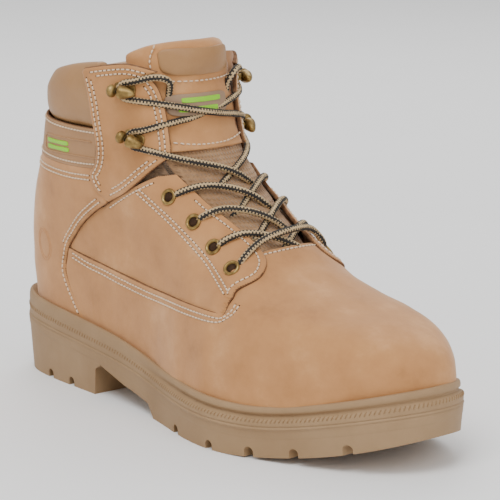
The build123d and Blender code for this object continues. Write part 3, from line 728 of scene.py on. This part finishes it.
def quarter_lift(x, z):
    return -0.5 + 1.35 * ramp(x, 20, 40) * ramp(z, 69, 77) + 0.5 * ramp(x, 30, 50) * ramp(z, 75, 84)


def heel_lift(x, z):
    return 0.3 + 0.85 * ramp(z, 46, 66)


VAMP = Leather(vamp_lift, thick=1.5, folds=vamp_folds)
QUARTER = Leather(quarter_lift, thick=1.6, folds=quarter_folds)
HEEL = Leather(heel_lift, thick=1.9, folds=soft_folds)
BAND_LAY = Leather(constant(2.1), thick=1.2, folds=lambda p: wander(p, 30, 0.3, 20.0))
ANKLE = Leather(lambda x, z: 1.0 + 1.9 * (1 - ramp(x, -66, -52)) * ramp(z, 108, 118),
                thick=1.8, folds=ankle_folds)
STRIP = Leather(lambda x, z: 1.9 + 1.6 * ramp(z, 50, 66) * (1 - ramp(z, 108, 126)), thick=2.0,
                folds=soft_folds)
GUSSET = Leather(constant(-3.2), thick=1.2, folds=lambda p: wander(p, 6, 1.0, 30.0))


def make_vamp():
    """Toe and both wings, in one piece, under the rand and round the throat."""
    edges, lines = [], []
    for side in (-1, 1):
        heel = at_x(side, curve([(-92, 22), (-97, 45), (-106, 62), (-103, 79)]))
        rise = at_y(side, curve([(-41, 79.5), (-36.5, 83.5), (-30, 89), (-21, 94.5), (-12, 97), (-4, 97.8)]))
        edges.append(np.vstack([heel[:-1], at_x(side, curve(WING_TOP)), at_x(side, [(46.5, 73.5)]), rise]))
        row = at_x(side, curve([(-94, 78.5)] + WING_TOP[1:-1] + [(47.5, 69.4), (50.3, 71.4), (51, 75)]))
        lines += [shift(row, side * 3.0), shift(row, side * 5.6)]
    lateral, medial = edges
    foot = np.stack([np.linspace(medial[0, 0], lateral[0, 0], 160), np.full(160, 22.0)], -1)
    throat = [(0.0, 98.0)]
    lines.append(shift(np.vstack([lateral[-40:], throat, medial[::-1][:40]]), -2.6))
    loop = loop_of(lateral, throat, medial[::-1], foot)
    panel("vamp_and_wings", loop, VAMP, grooves=lines, replaced=("vamp",))
    stitching("wing_stitching", lines, VAMP)


def make_quarter(label, side):
    """Flap with the eyelets: one sewn row along its edges and a double one behind the eyelets."""
    front = at_y(side, curve(FLAP_FRONT))
    top = at_x(side, curve(QUARTER_TOP))
    low = at_x(side, curve([(49.5, 72), (46, 64), (20, 62), (-20, 62), (-62, 66), (-104, 71)]))
    rear = at_x(side, curve([(-104, 71), (-103, 82), (-88, 94), (-72, 104), (-64, 106)]))
    behind = at_x(side, curve([(-33.7, 120.2), (7, 100.2), (46.4, 78.6)]))
    top_row = at_x(side, curve(QUARTER_TOP[1:]))[:-4]
    lines = [shift(front[16:], side * 3.6), shift(top_row, side * 2.8), behind, shift(behind, side * 2.5)]
    sewn_panel(f"quarter_{label}", loop_of(top, front, low, rear), QUARTER, lines, f"quarter_{label}")


def make_ankle(label, side):
    rear, low, top = (at_x(side, curve(edge)) for edge in (ANKLE_REAR, ANKLE_LOW, ANKLE_TOP))
    front = at_y(side, curve(ANKLE_FRONT))
    lines = [shift(row, -side * inset) for row, inset in (
        (rear[4:-8], 2.6), (rear[6:-12], 5.2), (low[3:-3], 2.8), (low[5:-6], 5.4),
        (front[3:-2], 2.8), (front[6:-4], 5.3), (top[8:-3], 2.8), (top[10:-6], 5.2))]
    sewn_panel(f"ankle_{label}", loop_of(rear, low, front, top), ANKLE, lines, f"ankle_panel_{label}")


def make_heel(label, side):
    front = at_x(side, curve(HEEL_FRONT))
    top = at_x(side, curve([(-57, 109.5), (-64, 120), (-66, 129), (-97, 129), (-119, 130)]))
    back = float(side)
    foot = np.stack([np.linspace(back, front[0, 0], 60), np.full(60, 22.0)], -1)
    under_band = at_x(side, curve([(-72, 122.3), (-90, 121.4), (-110, 121.8), (-134, 123.5)]))
    lines = [shift(front[18:-6], -side * 2.6), shift(front[70:-8], -side * 5.2),
             under_band, shift(under_band, -side * 2.4)]
    loop = loop_of(front, top, [(back, 131.5)], foot)
    sewn_panel(f"heel_{label}", loop, HEEL, lines, f"heel_panel_{label}")


def make_emboss():
    """Pressed oval ring on the outer heel, with nothing written in it."""
    x, z = EMBOSS
    rings = []
    for wide, high in ((7.0, 9.2), (5.4, 7.6)):
        oval = at_x(-1, [(x + wide * math.cos(t), z + high * math.sin(t)) for t in turns_of(48)])
        at, _ = HEEL.place(oval)
        rings.append(tube(np.vstack([at, at[:1]]), 0.22, sides=6))
    piece("heel_emboss_ring", *join_parts(rings), "boot", "nubuck", [NUBUCK])


def make_backstay():
    width, hem = 0.062, 0.046
    z = np.linspace(34, 126, 60)
    upright = {q: np.stack([1.0 + q + 0 * z, z], -1) for q in (-width, width, -hem, hem)}
    loop = loop_of(upright[-width], upright[width][::-1])
    sewn_panel("backstay", loop, STRIP, [upright[-hem][2:], upright[hem][2:]], "backstay_strip")


def round_back(points):
    """Line that follows side-view points back along the medial side, and home along the lateral."""
    lateral = at_x(-1, points) + np.array([2.0, 0.0])
    return np.vstack([at_x(1, points), lateral[::-1]])


def make_band():
    low, high = round_back(curve(BAND_LOW)), round_back(curve(BAND_HIGH))
    lines = [shift(high, -2.2), shift(low, 2.6)]
    panel("collar_band_leather", loop_of(low, high[::-1]), BAND_LAY, slot="smooth_pu",
          materials=[BAND, RAW], grooves=lines, replaced=("collar_band",))
    stitching("collar_band_stitching", lines, BAND_LAY)


# ---- sole: rand, welt lip and its stitch marks -----------------------------
def outward(line):
    """Directions along a closed line in plan, and out of it."""
    run = unit(np.roll(line, -1, 0) - np.roll(line, 1, 0))
    return run, np.stack([run[:, 1], -run[:, 0]], -1)


def sole_outline():
    """Closed smooth curve through the outline points."""
    points = np.array(OUTLINE, float)
    closed = np.vstack([points, points[:1]])
    t = np.concatenate([[0], np.cumsum(np.linalg.norm(np.diff(closed, axis=0), axis=1))])
    n = len(points)
    h = np.diff(t)
    matrix = np.zeros((n, n))
    right = np.zeros((n, 2))
    for i in range(n):
        before, here = h[i - 1], h[i]
        matrix[i, i - 1] += here
        matrix[i, i] += 2 * (before + here)
        matrix[i, (i + 1) % n] += before
        right[i] = 3 * (here * (points[i] - points[i - 1]) / before
                        + before * (points[(i + 1) % n] - points[i]) / here)
    slopes = np.linalg.solve(matrix, right)
    where = np.linspace(0, t[-1], 4561)[:-1]
    i = np.clip(np.searchsorted(t, where, "right") - 1, 0, n - 1)
    u = ((where - t[i]) / h[i])[:, None]
    j = (i + 1) % n
    width = h[i][:, None]
    line = cubic(points[i], points[j] - points[i], slopes[i] * width, slopes[j] * width, u)
    return even(np.vstack([line, line[:1]]), 1.1)[:-1]


# Rand profile: (how far inside the outline at the heel, at the forefoot, share of the way from the
# lip line, 0, to the rand's top, 1, and a height in mm added to that)
RAND_PROFILE = [(9.0, 9.0, 1.0, -2.0), (3.4, 6.2, 1.0, -0.9), (2.5, 5.2, 1.0, -0.1),
                (1.9, 4.3, 1.0, 0.0), (1.3, 3.5, 1.0, -0.3), (0.85, 2.95, 1.0, -1.1),
                (0.6, 2.7, 1.0, -2.3), (0.5, 2.8, 1.0, -3.6), (0.48, 3.3, 0.62, 0.6),
                (0.5, 3.8, 0.6, 0.0), (0.5, 3.6, 0.58, -0.35), (0.5, 2.4, 0.56, -0.4),
                (0.48, 1.0, 0.53, -0.4), (0.45, 0.45, 0.48, -0.4), (0.42, 0.2, 0.4, -0.5),
                (0.45, 0.15, 0.0, 2.6), (0.5, 0.2, 0.0, 1.9), (0.8, 0.6, 0.0, 1.65),
                (0.45, 0.2, 0.0, 1.35), (0.12, -0.05, 0.0, 0.9), (0.1, -0.1, 0.0, 0.5),
                (0.45, 0.4, 0.0, 0.1)]
# Skirt over the tread unit: (how far it stands proud, how far below the lip line)
RAND_SKIRT = [(0.16, 0.5), (0.14, 1.5), (0.12, 3.0), (0.1, 4.6), (-0.1, 5.6), (-0.8, 6.2), (-9.0, 6.2)]
TREAD_DRAFT = 0.05 / 33      # the tread unit's sides draw in by this share of its width per mm


def rand_point(line, out, inset_heel, inset_toe, share, extra):
    """Points of the rand at a place in its profile."""
    x = line[:, 0]
    low, high = smooth(LIP_Z, x), smooth(RAND_Z, x)
    front = ramp(x, -45, 35)
    inset = inset_heel * (1 - front) + inset_toe * front
    if inset_toe > 1.0:
        inset = inset - 0.9 * ramp(x, 112, 148)
    z = low + (high - low) * share + extra
    return np.column_stack([line - out * inset[:, None], z])


def skirt_point(line, out, proud, drop):
    """Points on the tread unit's side, below the lip line."""
    z = smooth(LIP_Z, line[:, 0]) - drop
    draw = (32 - z) * TREAD_DRAFT
    x = line[:, 0] - draw * 0.32 * line[:, 0]
    y = MIDDLE_Y + (line[:, 1] - MIDDLE_Y) * (1 - draw)
    return np.column_stack([np.column_stack([x, y]) + out * proud, z])


def make_rand():
    line = sole_outline()
    _, out = outward(line)
    rows = [rand_point(line, out, *spot) for spot in RAND_PROFILE]
    rows += [skirt_point(line, out, *spot) for spot in RAND_SKIRT]
    points = np.stack(rows, 1)
    faces = grid_faces(*points.shape[:2], wrap_rows=True, wrap_columns=True)
    piece("rand_and_welt_lip", points.reshape(-1, 3), faces, "boot", "sole_rubber", [RUBBER],
          replaced=("midsole",))
    spots = even(np.vstack([line, line[:1]]), 2.45)[:-1]
    run, away = outward(spots)
    upper = rand_point(spots + 0.6 * run, away, 0.5, 1.0, 0.53, -0.4)
    middle = rand_point(spots, away, 0.45, 0.4, 0.46, -0.4)
    lower = rand_point(spots - 0.5 * run, away, 0.45, 0.2, 0.37, -0.4)
    radii = [0.2, 0.32, 0.36, 0.36, 0.36, 0.32, 0.2]
    marks = [tube(curve(places, 3), radii, sides=6) for places in zip(upper, middle, lower)]
    piece("rand_stitch_marks", *join_parts(marks), "boot", "sole_rubber", [RAND_THREAD])


# ---- collar pad ---------------------------------------------------------------
PAD_LOW_LINE = round_back(curve(BAND_HIGH))
PAD_HIGH_LINE = round_back(curve(PAD_TOP))


def pad_section(q, share):
    """Ring of points round the collar pad's section at q."""
    low = np.interp(q, *PAD_LOW_LINE.T) - 1.5
    high = np.interp(q, *PAD_HIGH_LINE.T)
    cos, sin = np.cos(turns_of(40)), np.sin(turns_of(40))
    height = (low + high) / 2 + (high - low) / 2 * share * squarish(sin, 0.75)
    bulge = np.where(cos > 0, 6.6, 6.2) * share * squarish(cos, 0.7)
    lean = -2.2 * ramp(height, high - 12, high)
    q_all = np.full(len(height), q)
    out = normals(q_all, np.minimum(height, 196))
    at = face(q_all, np.minimum(height, 199.0))
    fold = wander(at, 20, 0.8, 40.0) + wander(at, 8, 0.2, 44.0)
    return at + out * (bulge - 4.4 + lean + fold)[:, None]


def make_collar_pad():
    start, end = at_x(1, [(-57, 165)])[0, 0], at_x(-1, [(-57, 165)])[0, 0] + 2
    rings = []
    for q in np.linspace(start, end, 150):
        edge = min(q - start, end - q) / 0.02
        rings.append(pad_section(q, math.sqrt(max(1 - (1 - min(edge, 1.0)) ** 2, 0.02))))
    pad = piece("collar_pad_roll", *skin(rings), "boot", "smooth_pu", [COATED], replaced=("collar_pad",))


def make_band_badge():
    """Raised rounded frame on the collar band, open to the front, round a plain two-bar mark."""
    q_low, q_high = at_x(-1, [(-113, 136)])[0, 0], at_x(-1, [(-66, 138)])[0, 0]
    shape = curve([(1.0, 0.0), (0.5, 0.0), (0.06, 0.0), (0.0, 0.12), (0.0, 0.5), (0.0, 0.88),
                   (0.06, 1.0), (0.5, 1.0), (1.0, 1.0)], 10)
    loop = np.stack([q_low + (q_high - q_low) * shape[:, 0],
                     131.0 + 9.0 * shape[:, 1] + 1.8 * shape[:, 0]], -1)
    at, _ = BAND_LAY.place(loop)
    piece("collar_badge_frame", *tube(at, 0.5, sides=8), "boot", "smooth_pu", [BAND])
    lay = Leather(constant(3.35), thick=0.5)
    for k, low in enumerate((132.6, 136.2)):
        corners = curve([(-110, low + 0.4), (-109.6, low), (-100, low + 0.3), (-89, low + 0.6),
                         (-88.6, low + 1.1), (-88.6, low + 2.2), (-89, low + 2.7), (-100, low + 2.4),
                         (-109.6, low + 2.1), (-110, low + 1.7), (-110, low + 0.4)], 4)[:-1]
        panel(f"collar_badge_bar_{k + 1}", at_x(-1, corners), lay, slot="badge",
              materials=[BADGE_MARK, BADGE_MARK], step=1.6, boundary_step=0.6)


# ---- pull loop ------------------------------------------------------------------
def make_pull_loop():
    """Folded strap: a closed section swept across its width with rounded long edges."""
    section = curve([(-131.9, 151.4), (-133.4, 152.6), (-135.6, 151.6), (-138.6, 146.2), (-139.9, 138.5),
                     (-140.7, 131.6), (-140.0, 130.6), (-139.0, 131.4), (-138.0, 138.4), (-135.6, 145.6),
                     (-131.9, 151.4)], 5)[:-1]
    centre = section.mean(0)
    half = 8.3
    edge = [(-half, 0.8), (-half + 0.15, 0.9), (-half + 0.5, 0.97), (-half + 1.0, 1.0)]
    across = edge + [(y, 1.0) for y in np.linspace(-half + 2, half - 2, 12)]
    across += [(-y, share) for y, share in reversed(edge)]
    rows = []
    for y, share in across:
        x, z = (centre + (section - centre) * share).T
        rows.append(np.column_stack([x, np.full(len(x), MIDDLE_Y + y), z]))
    points, faces = skin(rows)
    points[:, 0] += 0.25 * np.sin(points[:, 1] * 0.9)
    piece("pull_loop_strap", points, faces, "pull_tab", "raw_edge", [RAW], replaced=("pull_loop",))


# ---- tongue -----------------------------------------------------------------------
TONGUE_LINE = [(80, 60), (90, 45.5), (100, 30.5), (112, 13.5), (125, -4), (137, -15.5), (148, -21),
               (160, -24), (176, -26), (199, -26)]
TONGUE_HALF = [(80, 15), (95, 18), (110, 21), (125, 24), (140, 26), (165, 27), (185, 26.5), (199, 25)]
TONGUE_SAG = [(80, 5), (110, 8), (140, 11), (165, 17), (190, 27), (199, 30)]
TONGUE_TURN = np.pi / 2 * 0.96         # how far the tongue bends round from u 0 to u 1
TONGUE_ARC = [(0.13, 4.2), (0.3, 4.55), (0.5, 4.62), (0.7, 4.55), (0.87, 4.2)]    # its stitches


def tongue_base(u, z):
    """Middle surface of the tongue; u from -1, lateral, to 1."""
    share = np.where(u < 0, 1.0, 0.8)
    x = smooth(TONGUE_LINE, z) - smooth(TONGUE_SAG, z) * share * (1 - np.cos(u * np.pi / 2))
    wider = np.where(u < 0, 1 + 0.07 * ramp(z, 160, 186), 1.0)     # it lies over to the lateral side
    y = MIDDLE_Y + smooth(TONGUE_HALF, z) * wider * np.sin(u * TONGUE_TURN)
    return np.stack([x, y, z + 0 * x], -1)


def tongue_u(y, z):
    """u of a place (y, z) seen from the front."""
    return np.arcsin(np.clip((y - MIDDLE_Y) / smooth(TONGUE_HALF, z), -1, 1)) / TONGUE_TURN


def tongue_frame(u, z):
    step = 0.01
    along = tongue_base(u + step, z) - tongue_base(u - step, z)
    up = tongue_base(u, z + 0.5) - tongue_base(u, z - 0.5)
    return tongue_base(u, z), unit(np.cross(along, up))


def tongue_top(u):
    return 197.5 - 8.5 * np.abs(u) ** 2.6


def tongue_shell(name, low, high, thick, widen, slot, material, folds, replaced):
    """Closed padded length of the tongue between two heights; high None runs to the top edge."""
    turns = turns_of(72)
    u = squarish(np.cos(turns), 0.8) * widen
    half = squarish(np.sin(turns), 0.62)
    rows = []
    for w in np.linspace(0, 1, 70):
        top = tongue_top(u) if high is None else high + 0 * u
        close = 1.0
        if high is None and w > 0.9:
            close = math.sqrt(max(1 - ((w - 0.9) / 0.1) ** 2, 0.0009))
        at, out = tongue_frame(u * (0.98 + 0.02 * close), low + (top - low) * w)
        rows.append(at + out * (half * thick / 2 * close + folds(at, u, w))[:, None])
    obj = piece(name, *skin(rows), "tongue", slot, [material], replaced=replaced)


def tongue_patch(name, corners, height, thick, slot, material, bulge=0.0, rounding=5.0, replaced=()):
    """Closed patch on the tongue's face; its corners are y from and to, z from and to."""
    y0, y1, z0, z1 = corners
    turns = turns_of(80)
    y_way = squarish(np.cos(turns), 2 / rounding) * (y1 - y0) / 2
    z_way = squarish(np.sin(turns), 2 / rounding) * (z1 - z0) / 2
    levels = [(1.0, -0.4), (1.0, thick * 0.55), (0.985, thick * 0.9), (0.955, thick)]
    levels += [(share, thick) for share in np.linspace(0.9, 0.02, 26)]
    rings = []
    for share, lift in levels:
        y = (y0 + y1) / 2 + y_way * share
        z = (z0 + z1) / 2 + z_way * share
        at, out = tongue_frame(tongue_u(y, z), z)
        rings.append(at + out * (height + lift + bulge * (1 - share**2)))
    piece(name, *skin(rings), "tongue", slot, [material], replaced=replaced)


def tongue_row(points):
    """Stitches on the tongue's face along a line through (y, z) points."""
    y, z = even(curve(points), STITCH_PITCH).T
    at, out = tongue_frame(tongue_u(y, z), z)
    return [stitch(p0, p1, n, TONGUE_ARC) for p0, p1, n in zip(at, at[1:], out)]


def make_tongue():
    def woven_folds(at, u, _):
        return wander(at, 14, 0.8, 50.0) - 1.2 * np.abs(u) ** 6

    def leather_folds(at, u, w):
        upright = 0.55 * np.sin(at[:, 1] * 1.1 + 3 * w) * np.abs(u) ** 2
        return upright + wander(at, 15, 0.9, 54.0) + wander(at, 6, 0.25, 58.0)

    tongue_shell("tongue_woven_body", 84, 142, 6.2, 0.97, "woven_textile", WOVEN, woven_folds,
                 ("tongue_textile", "tongue_foam", "tongue_lining"))
    tongue_shell("tongue_leather_top", 138.5, None, 8.6, 1.0, "nubuck", NUBUCK, leather_folds,
                 ("tongue_face",))
    tongue_patch("tongue_upper_pad", (-15, 22, 179, 193.5), 3.6, 1.3, "smooth_pu", COATED, bulge=1.6)
    tongue_patch("tongue_badge_patch", (-16, 18, 157, 169), 3.8, 1.3, "badge", BADGE_FIELD,
                 replaced=("tongue_badge",))
    for k, (low, high) in enumerate(((159.2, 161.9), (164.1, 166.8))):
        tongue_patch(f"tongue_badge_bar_{k + 1}", (-11 + 2 * k, 11 + 2 * k, low, high), 5.0, 0.5,
                     "badge", BADGE_MARK, rounding=8.0)
    parts = []
    for row in ([(-22, 144.5), (-8, 141.6), (4, 141.0), (16, 141.6), (29, 144.5)],
                [(-17, 177), (-17.5, 186), (-15, 195)], [(-15, 176.2), (4, 176.0), (23, 176.2)]):
        parts += tongue_row(row)
    piece("tongue_stitching", *join_parts(parts), "tongue", "nubuck", [THREAD])


def make_gusset(label, side):
    """Woven lining that fills the gap between tongue, flap and ankle panel; its darker woven colour is
    painted shade.
    """
    rear = at_x(side, curve([(-60, 104), (-60, 130), (-58, 160), (-56, 178)]))
    front = at_y(side, curve([(-23, 178), (-24, 160), (-25, 145), (-25, 130), (-22, 115), (-19, 103)]))
    panel(f"gusset_{label}", loop_of(rear, front), GUSSET, slot="woven_textile",
          materials=[SHADED_WOVEN, SHADED_WOVEN])


# ---- eyelets and hooks ---------------------------------------------------------
EYELET_PROFILE = [(-2.8, 2.6), (0.1, 2.5), (0.6, 2.62), (1.0, 2.95), (1.22, 3.4), (1.2, 3.85),
                  (0.95, 4.25), (0.5, 4.5), (0.15, 4.45), (0.0, 4.1), (-0.1, 3.2), (-2.8, 3.1)]
# dark disc in each eyelet's hole: painted shade
EYELET_SHADE_PROFILE = [(-0.6, 0), (-0.6, 2.6), (0.15, 2.6), (0.1, 0)]
HOOK_SIZE = 1.17
# Hook body (place along its axis, radius): dome, body, socket mouth, neck, ball
HOOK_PROFILE = [(-7.2, 0), (-7.1, 0.7), (-6.6, 1.3), (-5.6, 1.75), (-4.3, 2.2), (-2.6, 2.75),
                (-0.9, 3.1), (0.0, 3.1), (0.3, 2.9), (0.25, 2.6), (-0.5, 2.35), (-1.4, 1.8),
                (-1.5, 0.95), (2.0, 0.95), (2.15, 1.5), (2.55, 2.25), (3.2, 2.8), (4.1, 3.0),
                (5.0, 2.8), (5.7, 2.25), (6.2, 1.5), (6.4, 0.7), (6.45, 0)]
# these steps take the near-black brass: painted shadow in the socket
SOCKET_SPAN = (8, 13)      # the profile's steps that lie in the dark socket
PLATE_LEVELS = [(-0.3, 1.0), (0.45, 1.0), (0.7, 0.95), (0.8, 0.86), (0.82, 0.4)]
POST_PROFILE = [(0.5, 0), (0.5, 2.6), (1.6, 1.9), (3.4, 1.75), (5.0, 2.1), (6.2, 1.8), (6.2, 0)]


def wall_spot(lay, side, x, z, turn=0.0):
    """Point on a panel's face, with its normal and its backward and cross directions."""
    at, out = (found[0] for found in lay.place(at_x(side, [(x, z)])))
    back = np.array([-1.0, 0, 0])
    back = unit(back - out * np.dot(back, out))
    turn = math.radians(turn)
    turned = math.cos(turn) * back + math.sin(turn) * np.cross(out, back)
    return at, out, turned, np.cross(out, turned)


def make_eyelets(label, side):
    rings, eyelet_shades = [], []
    for x, z in EYELETS:
        at, out, back, _ = wall_spot(QUARTER, side, x, z)
        rings.append(lathe(EYELET_PROFILE, at, out, back, 44))
        # painted shade in the eyelet's hole
        eyelet_shades.append(lathe(EYELET_SHADE_PROFILE, at, out, back, 24))
    points, faces = join_parts(rings + eyelet_shades)
    count = sum(len(some) for _, some in rings)
    marks = [0] * count + [1] * (len(faces) - count)
    piece(f"eyelet_rings_{label}", points, faces, "boot", "antique_brass", [BRASS, HOLE_SHADE], marks,
          (f"eyelets_{label}",))


def rounded_slab(at, out, along, cross, long, wide, levels):
    """Closed plate with a rounded outline; levels are (height, share of its size)."""
    turns = turns_of(48)
    rim = np.outer(squarish(np.cos(turns), 0.55) * long / 2, along)
    rim += np.outer(squarish(np.sin(turns), 0.55) * wide / 2, cross)
    return skin([at + out * height + rim * share for height, share in levels])


def make_hooks(label, side):
    parts, marks = [], []
    steps = len(HOOK_PROFILE) - 1
    for x, z, turn in HOOKS:
        at, out, back, cross = wall_spot(ANKLE, side, x, z, turn * side)
        plate = rounded_slab(at, out, back, cross, 12.5, 8.4, PLATE_LEVELS)
        post = lathe(POST_PROFILE, at - back * 1.6, out, back, 24)
        body = lathe(np.array(HOOK_PROFILE) * HOOK_SIZE, at + out * 6.0, back, out, 40)
        parts += [plate, post, body]
        marks += [0] * (len(plate[1]) + len(post[1]))
        marks += [int(SOCKET_SPAN[0] <= k % steps < SOCKET_SPAN[1]) for k in range(len(body[1]))]
    piece(f"hook_bodies_{label}", *join_parts(parts), "boot", "antique_brass", [BRASS, SOCKET_SHADOW], marks,
          (f"lace_hooks_{label}",))


# ---- lace ----------------------------------------------------------------------
LACE_D = 3.8
LACE_SIDES = 24
LACE_STEP = 0.45       # between its rings
LACE_PITCH = 2.7       # of the braid's crossing strands
LACE_STRIPES = 3       # pairs of light and dark stripes round the lace
LACE_ROUTE = [
    (-28, -17, 158.5), (-28, -15, 169.5), (-23.5, -17, 177.5), (-27.5, -24.5, 180),
    (-35.5, -32.5, 177), (-41.5, -35.5, 176), (-44, -36.5, 172), (-41.5, -35.5, 168),
    (-35.5, -32, 167), (-24.5, -22.5, 165.5), (-15, 4, 159.5), (-22.5, 30.5, 155),
    (-30.5, 38.5, 151.5), (-37, 41.5, 150.5), (-39, 42.5, 146.5), (-37, 41.5, 142.5),
    (-30.5, 38.5, 141.5), (-11, 26.5, 137), (-1, 4, 128), (2, -12, 119.5),
    (-14, -23.5, 116.5), (-7, -27, 121.5), (4, -15, 126.5), (15, 4, 121.5),
    (19, 18.5, 109), (5, 30, 106), (11, 33.5, 111.5), (19, 23, 116.5),
    (28, 4, 107), (34.5, -10.5, 98), (21.5, -23.5, 94.5), (27.5, -26.5, 101),
    (34.5, -15, 106), (46, 4, 100.5), (49, 18.5, 89), (38.5, 30.5, 85.5),
    (42, 33.5, 93), (40, 26, 102.5), (44.5, 14, 106), (46, -1, 105.5),
    (44, -14.5, 102.5), (43, -27, 93), (38.5, -25.5, 85), (49.5, -11, 89),
    (43.5, 4, 96.5), (34, 23, 106), (27, 33.5, 101), (21.5, 30, 95),
    (34, 18.5, 98), (30.5, 4, 111), (19, -15, 116.5), (11, -26, 111.5),
    (5, -23, 106), (19, -10.5, 109), (12.5, 4, 117.5), (4, 23, 126.5),
    (-7, 35, 121.5), (-14, 31.5, 117), (2, 20, 119.5), (2, 4, 131.5),
    (-10.5, -18.5, 137), (-30.5, -30.5, 141.5), (-37, -33.5, 142.5), (-39, -34.5, 146.5),
    (-37, -33.5, 150.5), (-30.5, -30.5, 151.5), (-22.5, -22.5, 155), (-19.5, 4, 158),
    (-24.5, 30.5, 165.5), (-35.5, 40, 167), (-41.5, 43.5, 168), (-44, 44.5, 172),
    (-41.5, 43.5, 176), (-35.5, 40.5, 177), (-27.5, 32.5, 180), (-23.5, 25, 177.5),
    (-28, 23, 169.5), (-28, 25, 158.5)]


def smooth_route(points):
    """Points (mm) read from a NURBS curve that has the route as its control points."""
    data = bpy.data.curves.new("route", "CURVE")
    data.dimensions = "3D"
    spline = data.splines.new("NURBS")
    spline.points.add(len(points) - 1)
    for spot, p in zip(spline.points, points):
        spot.co = (p[0] * MM, p[1] * MM, p[2] * MM, 1)
    spline.order_u = 3
    spline.use_endpoint_u = True
    data.resolution_u = 16
    holder = linked("route", data)
    mesh = bpy.data.meshes.new_from_object(holder)
    found = np.array([v.co for v in mesh.vertices]) / MM
    bpy.data.objects.remove(holder)
    bpy.data.curves.remove(data)
    bpy.data.meshes.remove(mesh)
    return found


def make_lace():
    """Round braid: crossing strands as ridges, and saw-edged stripes of two colours along it."""
    turns = turns_of(LACE_SIDES)
    rings, marks = [], []
    for k, here in enumerate(frames(even(smooth_route(LACE_ROUTE), LACE_STEP))):
        along = k * LACE_STEP
        slant = along * 2 * np.pi / LACE_PITCH
        strands = np.cos(6 * turns + slant) * np.cos(6 * turns - slant)
        rings.append(ring(*here, LACE_D / 2 * (0.95 + 0.06 * strands), turns))
        sawtooth = 0.11 if (along / 1.8) % 1.0 < 0.5 else -0.11
        stripe = (turns + np.pi / LACE_SIDES) * LACE_STRIPES / (2 * np.pi) + along / 150 + sawtooth
        marks.extend((stripe % 1.0 < 0.57).astype(int))
    piece("lace_braid", *skin(rings), "boot", "lace_braid", [LACE_LIGHT, LACE_DARK],
          marks[:-LACE_SIDES] + [1, 1], ("lace",))


# ---- everything ------------------------------------------------------------------
make_vamp()
for label, side in SIDES.items():
    make_quarter(label, side)
    make_ankle(label, side)
    make_heel(label, side)
    make_gusset(label, side)
    make_eyelets(label, side)
    make_hooks(label, side)
make_emboss()
make_backstay()
make_band()
make_band_badge()
make_collar_pad()
make_rand()
make_pull_loop()
make_tongue()
make_lace()

CAD_FINISH = {
    "outsole": RUBBER, "midplate": STEEL, "insole_board": BOARD, "footbed": LINING, "toe_cap": STEEL,
    "toe_cap_edge_strip": FOAM, "vamp_interlining": FOAM, "heel_counter": BOARD, "ankle_foam": FOAM,
    "shaft_lining": LINING, "vamp_lining": LINING, "hook_rivets_lateral": BRASS,
    "hook_rivets_medial": BRASS, "lace_aglets": AGLET}
for name, material in CAD_FINISH.items():
    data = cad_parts[name].data
    data.materials.clear()
    data.materials.append(material)


# ---- floor, light and camera -------------------------------------------------------
def make_stage():
    mesh = bpy.data.meshes.new("floor")
    size = 6.0
    mesh.from_pydata([(-size, -size, 0), (size, -size, 0), (size, size, 0), (-size, size, 0)], [],
                     [(0, 1, 2, 3)])
    floor = linked("floor", mesh)
    material, tree, shader, place = base_material("pale_floor", (0.93, 0.93, 0.93), 0.9)
    mottled(tree, shader, place, [(0.92, 0.92, 0.92), (0.94, 0.94, 0.94)], 3.0)
    mesh.materials.append(material)


def aim(obj, place, target):
    obj.location = place
    obj.rotation_euler = (Vector(target) - Vector(place)).to_track_quat("-Z", "Y").to_euler()


def area_light(name, place, target, power):
    data = bpy.data.lights.new(name, "AREA")
    data.size = 1.0
    data.energy = power
    aim(linked(name, data), place, target)


def make_camera():
    azimuth, elevation, distance = math.radians(49.0), math.radians(12.2), 1.407
    target = Vector((0.0047, 0.0131, 0.0871))
    data = bpy.data.cameras.new("camera")
    data.sensor_width = 36.0
    data.lens = 191.1
    camera = linked("camera", data)
    aside = Vector((math.sin(azimuth) * math.cos(elevation), -math.cos(azimuth) * math.cos(elevation),
                    math.sin(elevation)))
    aim(camera, target + distance * aside, target)
    bpy.context.scene.camera = camera


def make_light():
    world = bpy.data.worlds.new("studio")
    world.use_nodes = True
    adjust(world.node_tree.nodes["Background"], Color=(1.0, 1.0, 1.0, 1), Strength=0.8)
    bpy.context.scene.world = world
    area_light("key", (0.4, -0.9, 1.7), (0.0, 0.0, 0.08), 22.0)
    area_light("front", (1.6, -0.2, 1.0), (0.03, 0.0, 0.07), 6.0)
    area_light("back", (-0.9, 0.9, 1.3), (0.0, 0.0, 0.1), 11.0)


make_stage()
make_light()
make_camera()
